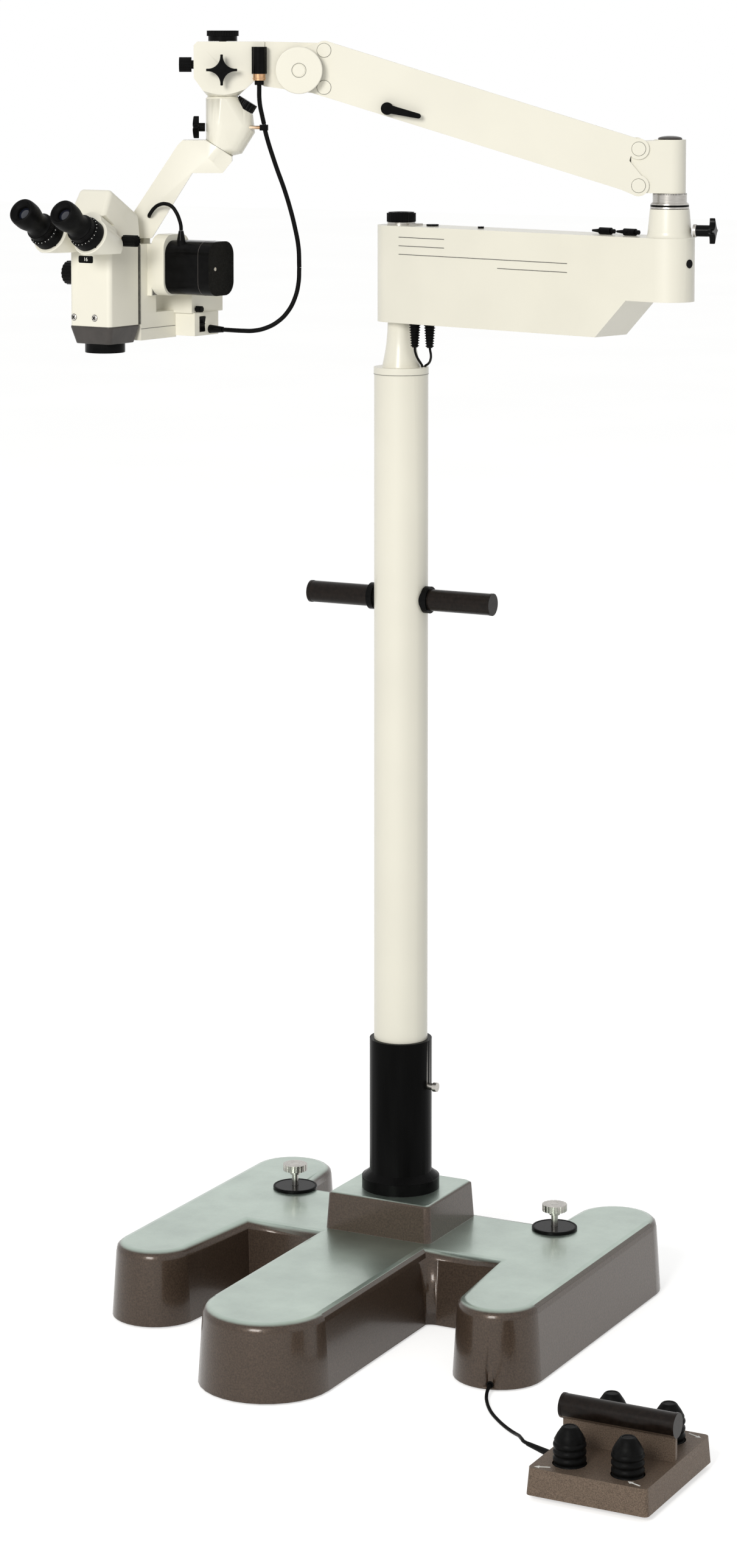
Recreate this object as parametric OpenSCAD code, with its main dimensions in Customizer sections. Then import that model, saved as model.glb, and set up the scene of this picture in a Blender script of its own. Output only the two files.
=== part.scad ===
// Floor-standing surgical microscope with a swing arm, a parallelogram arm and a foot switch.
// Millimetres. +Z up, -Y is the front of the base, +X is to its right.
// The origin is on the column's axis, at the floor.

/* [Base] */
// Half width of the base over both legs
base_half_w = 346; // [300:1:400]
// Height of the casting's top face above the floor
base_h = 112; // [95:1:130]
// Wall thickness of the casting
base_wall = 10; // [8:1:12]
// Radius of the legs' round front ends
leg_front_r = 66; // [58:1:72]
// Distance of the legs' front radius centres ahead of the column
leg_front_y = 245; // [220:1:270]
// Radius of the legs' round rear ends
leg_rear_r = 69; // [60:1:76]
// Distance of the legs' rear radius centres behind the column
leg_rear_y = 168; // [150:1:190]
// Radius of the centre lobe's round front end
lobe_r = 98; // [85:1:110]
// Distance of the centre lobe's radius centre ahead of the column
lobe_y = 415; // [360:1:450]
// Reach of the crossbar ahead of the column
cross_front = 106; // [98:1:115]
// Reach of the crossbar behind the column
cross_rear = 96; // [88:1:110]
// Height of the pedestal on top of the casting
pedestal_h = 55; // [40:1:70]
// Half width of the pedestal
pedestal_half_w = 87; // [75:1:92]
// Half depth of the pedestal
pedestal_half_d = 79; // [72:1:88]

/* [Column] */
// Outer radius of the column tube
column_r = 40; // [38:0.5:42]
// Wall of the column tube
column_wall = 4; // [3:0.5:6]
// Height of the column tube's top above the pedestal
column_rise = 1224; // [1100:1:1350]
// Height of the black sleeve above the pedestal
sleeve_h = 227; // [180:1:280]
// Outer radius of the black sleeve
sleeve_r = 46.5; // [44.5:0.5:50]
// Radius of the sleeve's foot flange
sleeve_flange_r = 58; // [54:1:66]
// Height of the grip bar above the floor
grip_z = 1057; // [800:1:1200]
// Half length of the grip bar
grip_half_l = 151; // [110:1:180]
// Radius of the grip bar
grip_r = 16; // [12:0.5:18]

/* [Swing arm box] */
// Turn of the swing arm from the right-hand direction, in degrees
swing_angle = -15.8; // [-60:0.1:60]
// Distance from the column's axis to the yoke's axis
swing_reach = 503; // [450:1:560]
// Width of the box
box_w = 70; // [64:1:78]
// Height of the box
box_h = 142; // [130:1:160]
// Wall of the box
box_wall = 4; // [3:0.5:5]
// Height by which the box's end under the yoke is shallower
box_step_h = 54; // [40:1:60]
// Radius of the column pivot shaft
pivot_r = 15; // [12:0.5:16]

/* [Yoke and parallelogram arm] */
// Turn of the parallelogram arm from the right-hand direction, in degrees
arm_angle = 207.3; // [160:0.1:250]
// Length of the arm between its pivots
link_l = 452; // [400:1:500]
// Rise of the arm towards the head, in degrees
lift_angle = 17.34; // [5:0.01:25]
// Height between the upper and lower pivots
pivot_gap = 50.6; // [46:0.1:54]
// Distance of the yoke's pivots from the yoke's axis
yoke_pivot_x = 45; // [42:0.5:50]
// Outer width of the arm cover
cover_w = 50; // [48:0.5:54]
// Radius of the yoke post
post_r = 22; // [20:0.5:22]

/* [Head and coupler] */
// Distance from the head's pivots to the head's vertical axis
head_reach = 139.5; // [130:0.5:150]
// Lean of the tilting axis from vertical, in degrees
tilt_angle = 32; // [26:0.5:36]
// Height of the tilting axis's crossing point below the head block
tilt_drop = 63; // [60:0.5:68]
// Horizontal distance from the head's vertical axis to the focusing rail
rail_reach = 122; // [118:1:130]

/* [Microscope] */
// Turn of the microscope from the straight-ahead direction, in degrees
scope_angle = -6.7; // [-15:0.1:5]
// Width of the microscope body
body_w = 70; // [66:0.5:76]
// Depth of the microscope body
body_d = 68; // [64:0.5:72]
// Height of the microscope body
body_h = 110; // [100:1:120]
// Distance between the eyepiece axes
eye_gap = 69; // [64:0.5:74]
// Length of an eyepiece in front of its prism housing
eye_l = 72; // [62:1:82]
// Radius of the objective ring
objective_r = 27.5; // [24:0.5:30]

/* [Foot switch] */
// Width of the foot switch housing
pedal_w = 172; // [160:1:190]
// Depth of the foot switch housing
pedal_d = 218; // [200:1:240]
// Height of the foot switch housing
pedal_h = 36; // [30:1:44]
// Radius of the footrest bar
footrest_r = 16; // [12:0.5:20]

/* [Hidden] */
$fn = 48;
// Facets of the pieces inside a hull
hull_fn = 32;
// Thickness of the slices that a hull joins
slice = 1;
// Overrun of every cut, and of pieces that run into each other
over = 1;
// Radial clearance of a shaft that turns in its bore
run = 0.05;
// Clearance of a fixed piece in its seat
seat = 0.02;
// Gap between faces that move past each other
gap = 0.5;

cream = [0.90, 0.88, 0.78];
black = [0.07, 0.07, 0.07];
brown = [0.36, 0.33, 0.31];
steel = [0.72, 0.70, 0.66];
brass = [0.75, 0.60, 0.38];

// Base values
base_lift = 3;
base_draft = 6;
edge_drop_shares = [1, 0.45, 0.12, 0];
edge_in_shares = [0, 0.12, 0.5, 1];
edge_r = 13;
leg_x = base_half_w - leg_front_r;
leg_rear_x = base_half_w - leg_rear_r;
leg_waist_r = 75;
leg_waist_x = base_half_w - leg_waist_r;
leg_waist_y = 60;
notch_r = 20;
pad_h = 9;
pad_r = 19;
pad_boss_r = 20;
hub_pad_r = 50;
hub_r = 66;
pedestal_r = 8;
pedestal_draft = 3;
pedestal_top = base_h + pedestal_h;
jack_in = 126;
jack_x = base_half_w - jack_in;
jack_y = 74;
jack_r = 5;
jack_boss_r = 20;
jack_disc_r = 34;
jack_disc_h = 4;
jack_bush_r = 10;
jack_knob_r = 18.5;
jack_knob_h = 10;
jack_knob_rise = 34;
jack_foot_r = 11;
jack_foot_h = 8;
jack_foot_lift = 6;
jack_play = 6;
jack_bush_z = jack_foot_lift + jack_foot_h + jack_play;
jack_hub_r = 8;
jack_hub_h = 6;
grommet_r = 5;
grommet_bore_r = 3;
grommet_z = 10;
grommet_angle = -76;
grommet_l = 20;

// Column values
sleeve_flange_h = 17;
sleeve_shoulder = 9;
sleeve_step = 1;
sleeve_spigot = 90;
sleeve_bolt_r = 5;
sleeve_bolt_l = 15;
sleeve_bolt_z = 158;
sleeve_head_r = 7;
sleeve_head_l = 6;
column_top = pedestal_top + column_rise;
column_foot = pedestal_top - sleeve_spigot;
cap_h = 10;
cap_r = column_r + 0.6;
plug_h = 50;
cone_h = 67;
cone_foot_r = 28.4;
cone_top_r = 20;
cone_bow = 2;
cap_hole_r = 4.5;
cap_hole_x = 32;
cap_hole_angle = 27;
grip_collar_r = 20;
grip_collar_l = 10;
grip_cap_l = 4;
box_bottom = column_top + cap_h + cone_h + gap;
box_top = box_bottom + box_h;

// Box values
box_r = box_w / 2;
bush_wall = 4;
bush_h = 20;
bush_r = pivot_r + run + bush_wall;
boss_wall = 5;
boss_r = bush_r + boss_wall;
slope_start = swing_reach - 104;
slope_end = swing_reach - 49;
transformer_x = 200;
transformer_l = 90;
transformer_w = 56;
transformer_h = 62;
transformer_plate = 3;
core_l = 70;
core_h = 74;
brake_ring_r = 20.5;
brake_ring_h = 4;
brake_knob_r = 21.5;
brake_knob_h = 14;
knob_flutes = 18;
flute_r = 1.6;
tab_l = 18;
tab_w = 12;
tab_h = 3;
plug_r = 5;
plug_tip_r = 3.2;
plug_l = 20;
plug_tip_l = 14;
plug_in = 114;
plug_x = swing_reach - plug_in;
plug_pitch = 44;
fuse_x = 62;
fuse_r = 9;
fuse_h = 3;
lamp_x = 156;
lamp_r = 4.5;
outlet_r = 6;
outlet_h = 2;
outlet_drop = 35;
boot_r = 7;
boot_rib = 1.6;
boot_ribs = 7;
boot_l = 36;
boot_tip_r = 4.5;
lead_r = 2.6;
boot_x_1 = 40;
boot_y_1 = -14;
boot_x_2 = 62;
boot_y_2 = -6;
boot_places = [[boot_x_1, boot_y_1], [boot_x_2, boot_y_2]];
boot_lead_r = 1.8;

// Yoke values
socket_h = 39.5;
socket_foot_r = 34;
socket_top_r = 27.4;
socket_flare = 10;
ring_h = 7.5;
ring_r = 27;
collar_h = 14;
collar_r = 23.6;
post_h = 73.7;
dome_r = 16.7;
dome_h = 5;
stub_r = 12;
socket_top = box_top + socket_h;
ring_base = socket_top + gap;
post_base = ring_base + ring_h + collar_h;
post_top = post_base + post_h;
spindle_foot_z = box_bottom + box_step_h + 2 * box_wall;
cover_wall = 2.5;
tongue_w = cover_w - 2 * (cover_wall + gap);
tongue_lobe_r = 10;
slot_w = 14;
lower_pin_rise = 11;
yoke_low_z = post_base + lower_pin_rise;
yoke_up_z = yoke_low_z + pivot_gap;
socket_knob_angle = 25;
socket_knob_z = 10;
star_r = 18;
star_h = 9;
star_core_share = 0.42;
star_bite_share = 0.80;
star_shaft_r = 8;
star_neck_r = 9.4;
star_pin_r = 4;
star_pin_l = 8;

// Arm values
link_dx = link_l * cos(lift_angle);
link_dz = link_l * sin(lift_angle);
low_pivot_x = -pivot_gap * sin(lift_angle);
low_pivot_z = -pivot_gap * cos(lift_angle);
head_pivot_x = yoke_pivot_x + link_dx;
head_up_z = yoke_up_z + link_dz;
head_low_z = head_up_z - pivot_gap;
cover_up = 13;
cover_down = 60.5;
cover_plate_t = 2.5;
cover_top_in = 9;
cover_low_in = 36;
cover_lobe_r = 14.5;
pin_r = 5;
pin_cap_r = 9.4;
pin_cap_h = 1.6;
tie_t = 12;
tie_half_h = 6;
tie_eye_r = 9;
tie_open = 0.3;
spring_r = 9;
spring_wall = 2.5;
spring_l = 250;
spring_x = 90;
spring_drop = 9;
spring_rod_r = 3;
clamp_x = 346;
clamp_drop = 50;
clamp_hub_r = 8.6;
clamp_hub_h = 12;
clamp_l = 44;
clamp_tip_r = 3.5;
clamp_arm_t = 6;
clamp_turn = 184;
dial_x = 24.4;
dial_drop = 36;
dial_r = 32.2;
dial_h = 15;
dial_gap = 2.5;
dial_hub_r = 12;
dial_pin_r = 5;
dial_face_r = 9;
cheek_end_r = 29;

// Head values
head_x = head_pivot_x + head_reach;
head_top = head_up_z + 12;
head_bottom = head_low_z - 12;
head_half_t = 25;
head_left = 39;
head_wide = 58;
head_neck_rise = 13.5;
head_chamfer_z = 20;
head_chamfer_x = 43;
head_boss_r = 21;
head_corner = 5;
spindle_r = 9;
head_spindle_l = 60;
top_knob_r = 20;
top_knob_rim_r = 22;
top_knob_h = 15;
knob_stem_r = 5;
knob_stem_l = 9;
side_knob_r = 10.3;
side_knob_l = 17;
side_knob_z = 43;
side_neck_r = 6;
side_neck_l = 4;
star_knob_z = 36;
star_knob_r = 21.5;
star_standoff = 12;
connector_x = -51;
connector_w = 20.6;
connector_h = 37;
connector_d = 18;
connector_drop = 7;
connector_collar_h = 9;
connector_collar_r = 8.4;
light_r = 3.5;

// Coupler and bracket values
coupler_top = head_bottom - gap;
tilt_z = head_bottom - tilt_drop;
coupler_r = 23.5;
coupler_neck_r = 21;
coupler_round = 3;
tilt_face = 9;
tilt_face_r = 21.8;
tilt_bulge = 9;
tilt_seat = 53.5;
tilt_bulge_end = 34;
tilt_seat_r = 15;
tilt_pin_r = 8;
tilt_pin_l = 44;
tilt_knob_r = 14.5;
tilt_knob_h = 12;
tilt_clear = 1.3;
coupler_star_z = 20;
seam_turn = 50;
coupler_star_r = 15.5;
coupler_star_h = 9;
coupler_star_shaft_r = 6;
clip_z = 20;
clip_reach = 61;
clip_angle = 159;
clip_r = 6;
clip_l = 8;
clip_stub_r = 2.5;
bracket_t = 42;
bracket_head_h = 45;
bracket_left = 62;
bracket_arm_w = 41;
bracket_foot_r = 21;
bracket_foot_h = 14;
bracket_round = 7;
bracket_disc_h = 20;
bracket_lip = 0.7;
rail_depth = 10;
rail_wide = 24;
rail_narrow = 16;
rail_post_w = 28;
rail_post_d = 14;
rail_gap = 0.3;
rail_lift = 12;

// Microscope values
rail_y = body_d / 2 + 26;
carriage_back = body_d / 2 + 35.4;
guide_y = body_d / 2 + 34;
body_top = tilt_z - 139;
body_bottom = body_top - body_h;
body_corner = 7;
body_wall = 3;
skirt_h = 24;
skirt_taper = 5;
skirt_lip = 1;
skirt_lip_h = 2;
ring_len = 13;
lens_r = 22;
lens_t = 4;
head_half_w = 35;
head_top_half_w = 27;
eye_tilt = 30;
eye_y = -(body_d / 2 + 41.5);
eye_z = body_top + 15.5;
prism_r = 26;
prism_d = 41;
prism_low = 8;
prism_top_r = 20;
prism_pivot_in = 11;
prism_pivot_up = 18.5;
prism_pin_r = 4;
prism_pin_l = 10;
nose_from = 39.5;
nose_depth = 16.5;
tube_rear_h = 43.5;
tube_front_h = 78.5;
tube_front_y = -20;
collar_share = 0.24;
barrel_share = 0.54;
eye_collar_r = 22.5;
eye_barrel_r = 19;
eye_neck_r = 16;
eye_cup_r = 19.5;
eye_pin_r = 14;
eye_pin_l = 10;
eye_bore_r = 8;
cup_depth = 6;
rib_count = 6;
mag_knob_r = 16.5;
mag_knob_l = 22;
mag_neck_r = 8;
mag_neck_l = 6;
mag_drop = 40;
lock_y = -18.5;
lock_rise = 8;
lock_r = 8;
lock_l = 22;
lock_neck_r = 4;
lock_neck_l = 13;
lock_pin_l = 5;
lock_flutes = 12;
carriage_left = 30;
carriage_h = 95;
adaptor_step = 7;
adaptor_l = 28.7;
adaptor_front = 16;
adaptor_low = 71;
adaptor_high = 13;
motor_l = 74;
motor_front = 18;
motor_d = 58;
motor_h = 74;
motor_r = 19;
motor_top_rise = 5;
motor_led_r = 2.5;
motor_led_h = 0.8;
relief_x = 84;
relief_y = 28;
relief_r = 6;
relief_tip_r = 3.4;
relief_h = 15;
bar_left = 5;
bar_low = 2;
bar_l = 80;
lamp_box_w = 73;
lamp_box_d = 55;
lamp_box_h = 32;
lamp_house_d = 72;
lamp_house_h = 29;
lamp_house_front = 76;
lamp_house_w = 71;
lamp_house_right = 66;
lamp_box_right = lamp_house_right - lamp_house_w + lamp_box_w;
rocker_w = 14;
rocker_h = 22;
rocker_t = 5;
rocker_depth = 7;
rocker_play = 1;
rocker_in = 18;
rocker_pin_r = 1.5;
rocker_pin_l = 18;
rocker_pin_in = 3;
lamp_knob_r = 4.5;
lamp_knob_l = 10;
lamp_knob_in = 10;
lamp_knob_pin_r = 2;
gland_r = 6;
gland_tip_r = 4;
gland_l = 22;
gland_in = 36;
gland_rise = 8;
window_w = 24;
window_h = 9;
window_drop = 14;
window_depth = 1;
window_x = -6;

// Foot switch values
pedal_x = leg_x + 311;
pedal_y = -leg_front_y - 289;
pedal_lift = 8;
pedal_wall = 3;
pedal_draft = 2.5;
pedal_r = 7;
pedal_foot_r = 11;
pedal_foot_tip_r = 10;
pedal_foot_in = 28;
rest_plate_t = 6;
rest_plate_h = 40;
rest_plate_in = 6;
rest_bar_in = 4;
rest_cap_l = 4;
rest_cap_step = 0.5;
stem_guide_wall = 2;
stem_guide_h = 12;
button_dx = 41;
button_dy = 68;
button_r = 22;
button_hole = 0.6;
button_cap_r = 9;
button_groove = 2;
button_h = 49;
button_ribs = 4;
button_travel = 6;
button_stem_r = 6;
pedal_gland_y = -6;
pedal_gland_z = 14;
pedal_gland_r = 8;
pedal_gland_t = 4;
pedal_relief_r = 5.5;
pedal_relief_tip_r = 3;
pedal_relief_l = 62;
pedal_relief_turn = -25;
cord_r = 2.5;

// Cord routes
pedal_cord_points = [[14.5, -58, 10], [17, -68, 9.5], [19, -78, 7], [24, -92, 4], [33, -109, 3],
  [45, -128, 3], [58, -145, 3], [73, -161, 3], [90, -177, 3], [108, -193, 4], [123, -208, 7],
  [135, -223, 11.5], [145, -239, 16], [153, -252, 19.5], [161, -263, 21.5], [169, -268.5, 22]];
light_upper_points = [[-51, 34, 1827], [-51, 34, 1816], [-51, 33, 1805], [-52, 30, 1793],
  [-54.5, 26, 1780], [-57, 22, 1768]];
light_middle_points = [[-57, 22, 1767], [-59, 21.5, 1757], [-63, 21, 1742], [-68, 20, 1726],
  [-75, 19, 1705], [-84, 18, 1680], [-92, 17, 1654], [-99, 16, 1626], [-104, 15, 1598],
  [-105, 15, 1570.3]];
light_lower_points = [[-105, 15, 1570], [-104, 15.5, 1549], [-99, 16, 1528], [-89, 16, 1509],
  [-75, 15, 1495], [-58, 12, 1486], [-41, 7, 1482], [-27, 1, 1481.5], [-14, -7, 1481.5],
  [-4, -14, 1481.6], [1, -17.4, 1481.6]];
motor_lead_points = [[101, 21.5, 1641], [100, 28, 1643.5], [93, 31, 1653], [85, 37, 1658],
  [77, 42.5, 1659], [69, 47, 1656], [62.5, 50, 1648], [57.8, 51.5, 1637], [55.9, 52, 1629],
  [55.7, 51.9, 1623]];
boot_lead_1_points = [[40, -14, 1433.5], [40, -14, 1429], [39, -11, 1423], [35, -2, 1415],
  [30, 10, 1409], [26.5, 17, 1406], [25.1, 19.6, 1404], [25, 20, 1401.5]];
boot_lead_2_points = [[62, -6, 1433.5], [62, -5, 1429], [59, 0, 1422], [49, 10, 1413],
  [36, 19.5, 1408.5], [27.5, 22.6, 1406], [23, 23.2, 1404], [22.3, 23.2, 1401.5]];
boot_leads = [boot_lead_1_points, boot_lead_2_points];

// Moves up, and turns of the Z axis to X and to Y
module up(z) { translate([0, 0, z]) children(); }
module to_x() { rotate([0, 90, 0]) children(); }
module to_y() { rotate([-90, 0, 0]) children(); }

// Turned frames
module in_swing() { rotate([0, 0, swing_angle]) children(); }
module in_arm() { in_swing() translate([swing_reach, 0, 0]) rotate([0, 0, arm_angle - swing_angle]) children(); }
module in_lift() { in_arm() translate([yoke_pivot_x, 0, yoke_up_z]) rotate([0, -lift_angle, 0]) children(); }
module in_head() { in_arm() translate([head_x, 0, 0]) children(); }
module in_tilt() { in_head() up(tilt_z) rotate([0, -tilt_angle, 0]) children(); }
module in_scope() {
  in_head() translate([rail_reach, 0, 0]) rotate([0, 0, scope_angle - arm_angle])
    translate([0, -guide_y, 0]) children();
}
module in_eye(side) {
  in_scope() translate([side * eye_gap / 2, eye_y, eye_z]) rotate([90 - eye_tilt, 0, 0]) children();
}
module in_pedal() { translate([pedal_x, pedal_y, 0]) children(); }

// Cord functions: a tube swept along points, with rings square to the path
function unit(v) = v / norm(v);
function heading(p, i) = unit(p[min(i + 1, len(p) - 1)] - p[max(i - 1, 0)]);
function side_of(t) = unit(cross(t, abs(t[2]) < 0.9 ? [0, 0, 1] : [1, 0, 0]));
function carried(t, s) = unit(s - t * (s * t));
function sides(p, i, s) = i == len(p) ? [] :
  let (n = carried(heading(p, i), s)) concat([n], sides(p, i + 1, n));
function smooth(p, steps) = concat([for (i = [0 : len(p) - 2]) for (k = [0 : steps - 1])
  let (a = p[max(i - 1, 0)], b = p[i], c = p[i + 1], d = p[min(i + 2, len(p) - 1)], t = k / steps)
  0.5 * (2 * b + (c - a) * t + (2 * a - 5 * b + 4 * c - d) * t * t + (3 * b - a - 3 * c + d) * t * t * t)],
  [p[len(p) - 1]]);
module tube_along(points, r, n, steps) {
  path = steps > 1 ? smooth(points, steps) : points;
  count = len(path);
  s = sides(path, 0, side_of(heading(path, 0)));
  rings = [for (i = [0 : count - 1]) let (t = heading(path, i), u = s[i], w = cross(t, u))
    for (k = [0 : n - 1]) path[i] + r * (cos(360 * k / n) * u + sin(360 * k / n) * w)];
  walls = [for (i = [0 : count - 2]) for (k = [0 : n - 1])
    let (a = i * n + k, b = i * n + (k + 1) % n, c = b + n, d = a + n) each [[a, d, c], [a, c, b]]];
  first = [for (k = [1 : n - 2]) [0, k, k + 1]];
  end = (count - 1) * n;
  last = [for (k = [1 : n - 2]) [end, end + k + 1, end + k]];
  polyhedron(points = rings, faces = concat(walls, first, last));
}

// Shared shapes
module rounded_box(size, r) {
  linear_extrude(size[2]) rounded_plate(size, r);
}
module rounded_plate(size, r) {
  square([size[0] - 2 * r, size[1]], center = true);
  square([size[0], size[1] - 2 * r], center = true);
  for (x = [-1, 1], y = [-1, 1]) translate([x * (size[0] / 2 - r), y * (size[1] / 2 - r)]) circle(r);
}
module stadium(x0, x1, r) {
  translate([x0, -r]) square([x1 - x0, 2 * r]);
  translate([x0, 0]) circle(r);
  translate([x1, 0]) circle(r);
}
module fluted_knob(r, h, flutes) {
  difference() {
    cylinder(r = r, h = h);
    for (i = [0 : flutes - 1]) rotate([0, 0, 360 * i / flutes]) translate([r + flute_r / 2, 0, -over])
      cylinder(r = flute_r, h = h + 2 * over, $fn = 16);
  }
}
// A four-pointed knob: a disc with four round bites
module star_disc(r, h) {
  bite = r * star_bite_share;
  difference() {
    cylinder(r = r, h = h);
    for (i = [0 : 3]) rotate([0, 0, 45 + 90 * i]) translate([r * star_core_share + bite, 0, -over])
      cylinder(r = bite, h = h + 2 * over);
  }
}
module star_knob(r, h, standoff, shaft_r, pin_r, pin_l) {
  up(standoff) star_disc(r, h);
  cylinder(r = shaft_r, h = standoff + h / 2);
  up(-pin_l) cylinder(r = pin_r, h = pin_l + over);
}

// Base
module lobe_stack(r) {
  cylinder(r = r, h = slice, $fn = hull_fn);
  for (i = [0 : 3]) translate([0, 0, base_h - base_lift - edge_r * edge_drop_shares[i] - slice])
    cylinder(r = r - base_draft - edge_r * edge_in_shares[i], h = slice, $fn = hull_fn);
}
module leg(side) {
  hull() {
    translate([side * leg_x, -leg_front_y, base_lift]) lobe_stack(leg_front_r);
    translate([side * leg_waist_x, -leg_waist_y, base_lift]) lobe_stack(leg_waist_r);
    translate([side * leg_rear_x, leg_rear_y, base_lift]) lobe_stack(leg_rear_r);
  }
}
module crossbar() {
  r = (cross_front + cross_rear) / 2;
  y = (cross_rear - cross_front) / 2;
  hull() for (side = [-1, 1]) translate([side * (base_half_w - r), y, base_lift]) lobe_stack(r);
}
module notch_fillets() {
  for (side = [-1, 1]) difference() {
    translate([side * (lobe_r - base_draft), -cross_front, base_lift])
      translate([side > 0 ? 0 : -notch_r, -notch_r, 0])
      cube([notch_r, notch_r + base_draft, base_h - base_lift - edge_r]);
    translate([side * (lobe_r - base_draft + notch_r), -cross_front - notch_r, 0])
      cylinder(r = notch_r, h = base_h);
  }
}
module pedestal() {
  hull() for (i = [0, 1, 2]) {
    in_ = [0, pedestal_draft, pedestal_draft + pedestal_r / 2][i];
    z = [base_h - slice, pedestal_top - pedestal_r / 2, pedestal_top - slice][i];
    for (x = [-1, 1], y = [-1, 1])
      translate([x * (pedestal_half_w - pedestal_r - in_), y * (pedestal_half_d - pedestal_r - in_), z])
      cylinder(r = pedestal_r, h = slice, $fn = hull_fn);
  }
}
module leg_hollow(side) {
  top = base_h - base_wall;
  r = leg_front_r - base_draft - base_wall;
  translate([side * leg_x, -leg_front_y, 0]) cylinder(r = r, h = top);
  translate([side * leg_rear_x, leg_rear_y, 0]) cylinder(r = r, h = top);
  translate([side * leg_x - r, -leg_front_y, 0]) cube([2 * r, leg_front_y + leg_rear_y, top]);
}
module base_hollow() {
  top = base_h - base_wall;
  for (side = [-1, 1]) leg_hollow(side);
  translate([-leg_x, -cross_front + base_wall + base_draft, 0])
    cube([2 * leg_x, cross_front + cross_rear - 2 * (base_wall + base_draft), top]);
  lobe_in = lobe_r - base_wall - base_draft;
  translate([0, -lobe_y, 0]) cylinder(r = lobe_in, h = top);
  translate([-lobe_in, -lobe_y, 0]) cube([2 * lobe_in, lobe_y - base_wall, top]);
}
module pad_places() {
  for (side = [-1, 1]) {
    translate([side * leg_x, -leg_front_y, 0]) children();
    translate([side * leg_rear_x, leg_rear_y, 0]) children();
  }
  translate([0, -lobe_y, 0]) children();
}
module base_casting() {
  color(brown) difference() {
    union() {
      difference() {
        union() {
          leg(-1);
          leg(1);
          crossbar();
          hull() {
            translate([0, -lobe_y, base_lift]) lobe_stack(lobe_r);
            up(base_lift) lobe_stack(lobe_r);
          }
          notch_fillets();
          pedestal();
        }
        base_hollow();
      }
      up(pad_h) cylinder(r = hub_r, h = base_h - pad_h);
      pad_places() up(pad_h) cylinder(r = pad_boss_r, h = base_h - pad_h - base_wall / 2);
      for (side = [-1, 1]) translate([side * jack_x, jack_y, jack_bush_z])
        cylinder(r = jack_boss_r, h = base_h - base_wall / 2 - jack_bush_z);
    }
    up(column_foot - over) cylinder(r = column_r + column_wall / 2 + seat, h = column_rise);
    up(-over) cylinder(r = column_r - column_wall, h = base_h);
    for (side = [-1, 1]) translate([side * jack_x, jack_y, 0]) {
      cylinder(r = jack_bush_r + seat, h = base_h + over);
      up(-over) cylinder(r = jack_foot_r + over, h = jack_bush_z + over - gap);
    }
    translate([leg_x, -leg_front_y, grommet_z]) rotate([0, 0, grommet_angle]) to_x()
      cylinder(r = grommet_r + seat, h = leg_front_r + over);
  }
}
module floor_pads() {
  color(black) {
    cylinder(r = hub_pad_r, h = pad_h);
    pad_places() cylinder(r = pad_r, h = pad_h);
    in_pedal() for (x = [-1, 1], y = [-1, 1])
      translate([x * (pedal_w / 2 - pedal_foot_in), y * (pedal_d / 2 - pedal_foot_in), 0])
      cylinder(r1 = pedal_foot_tip_r, r2 = pedal_foot_r, h = pedal_lift);
  }
}
module jack_bushes() {
  color(black) for (side = [-1, 1]) translate([side * jack_x, jack_y, 0]) difference() {
    union() {
      up(jack_bush_z) cylinder(r = jack_bush_r, h = base_h - jack_bush_z + jack_disc_h);
      up(base_h) cylinder(r = jack_disc_r, h = jack_disc_h);
    }
    cylinder(r = jack_r + run, h = base_h + jack_disc_h + over);
  }
}
module jack_screw(side) {
  knob_z = base_h + jack_disc_h + jack_knob_rise - jack_knob_h;
  color(steel) translate([side * jack_x, jack_y, 0]) {
    up(jack_foot_lift) cylinder(r = jack_r, h = knob_z - jack_foot_lift + over);
    up(jack_foot_lift) cylinder(r = jack_foot_r, h = jack_foot_h);
    up(knob_z - jack_hub_h) cylinder(r = jack_hub_r, h = jack_hub_h + over);
    up(knob_z) fluted_knob(jack_knob_r, jack_knob_h, knob_flutes);
  }
}
module jack_screw_left() { jack_screw(-1); }
module jack_screw_right() { jack_screw(1); }

// Column
module column_sleeve() {
  color(black) {
    difference() {
      union() {
        up(pedestal_top) cylinder(r = sleeve_flange_r, h = sleeve_flange_h);
        up(pedestal_top + sleeve_flange_h)
          cylinder(r1 = sleeve_flange_r - sleeve_step, r2 = sleeve_r, h = sleeve_shoulder);
        up(pedestal_top) cylinder(r = sleeve_r, h = sleeve_h);
        up(column_foot) cylinder(r = column_r + column_wall / 2, h = sleeve_spigot + over);
      }
      up(column_foot - over) cylinder(r = column_r + seat, h = sleeve_h + sleeve_spigot + 2 * over);
      up(pedestal_top + sleeve_bolt_z) to_x()
        cylinder(r = sleeve_bolt_r + seat, h = sleeve_r + over);
    }
  }
  color(steel) up(pedestal_top + sleeve_bolt_z) to_x() {
    up(column_r + seat) cylinder(r = sleeve_bolt_r, h = sleeve_bolt_l);
    up(column_r + sleeve_bolt_l) cylinder(r = sleeve_head_r, h = sleeve_head_l);
  }
}
module column_tube() {
  color(cream) difference() {
    up(column_foot) cylinder(r = column_r, h = column_top - column_foot);
    up(column_foot - over) cylinder(r = column_r - column_wall, h = column_top);
    up(grip_z) to_x() cylinder(r = grip_r + seat, h = 2 * column_r + over, center = true);
  }
}
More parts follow.
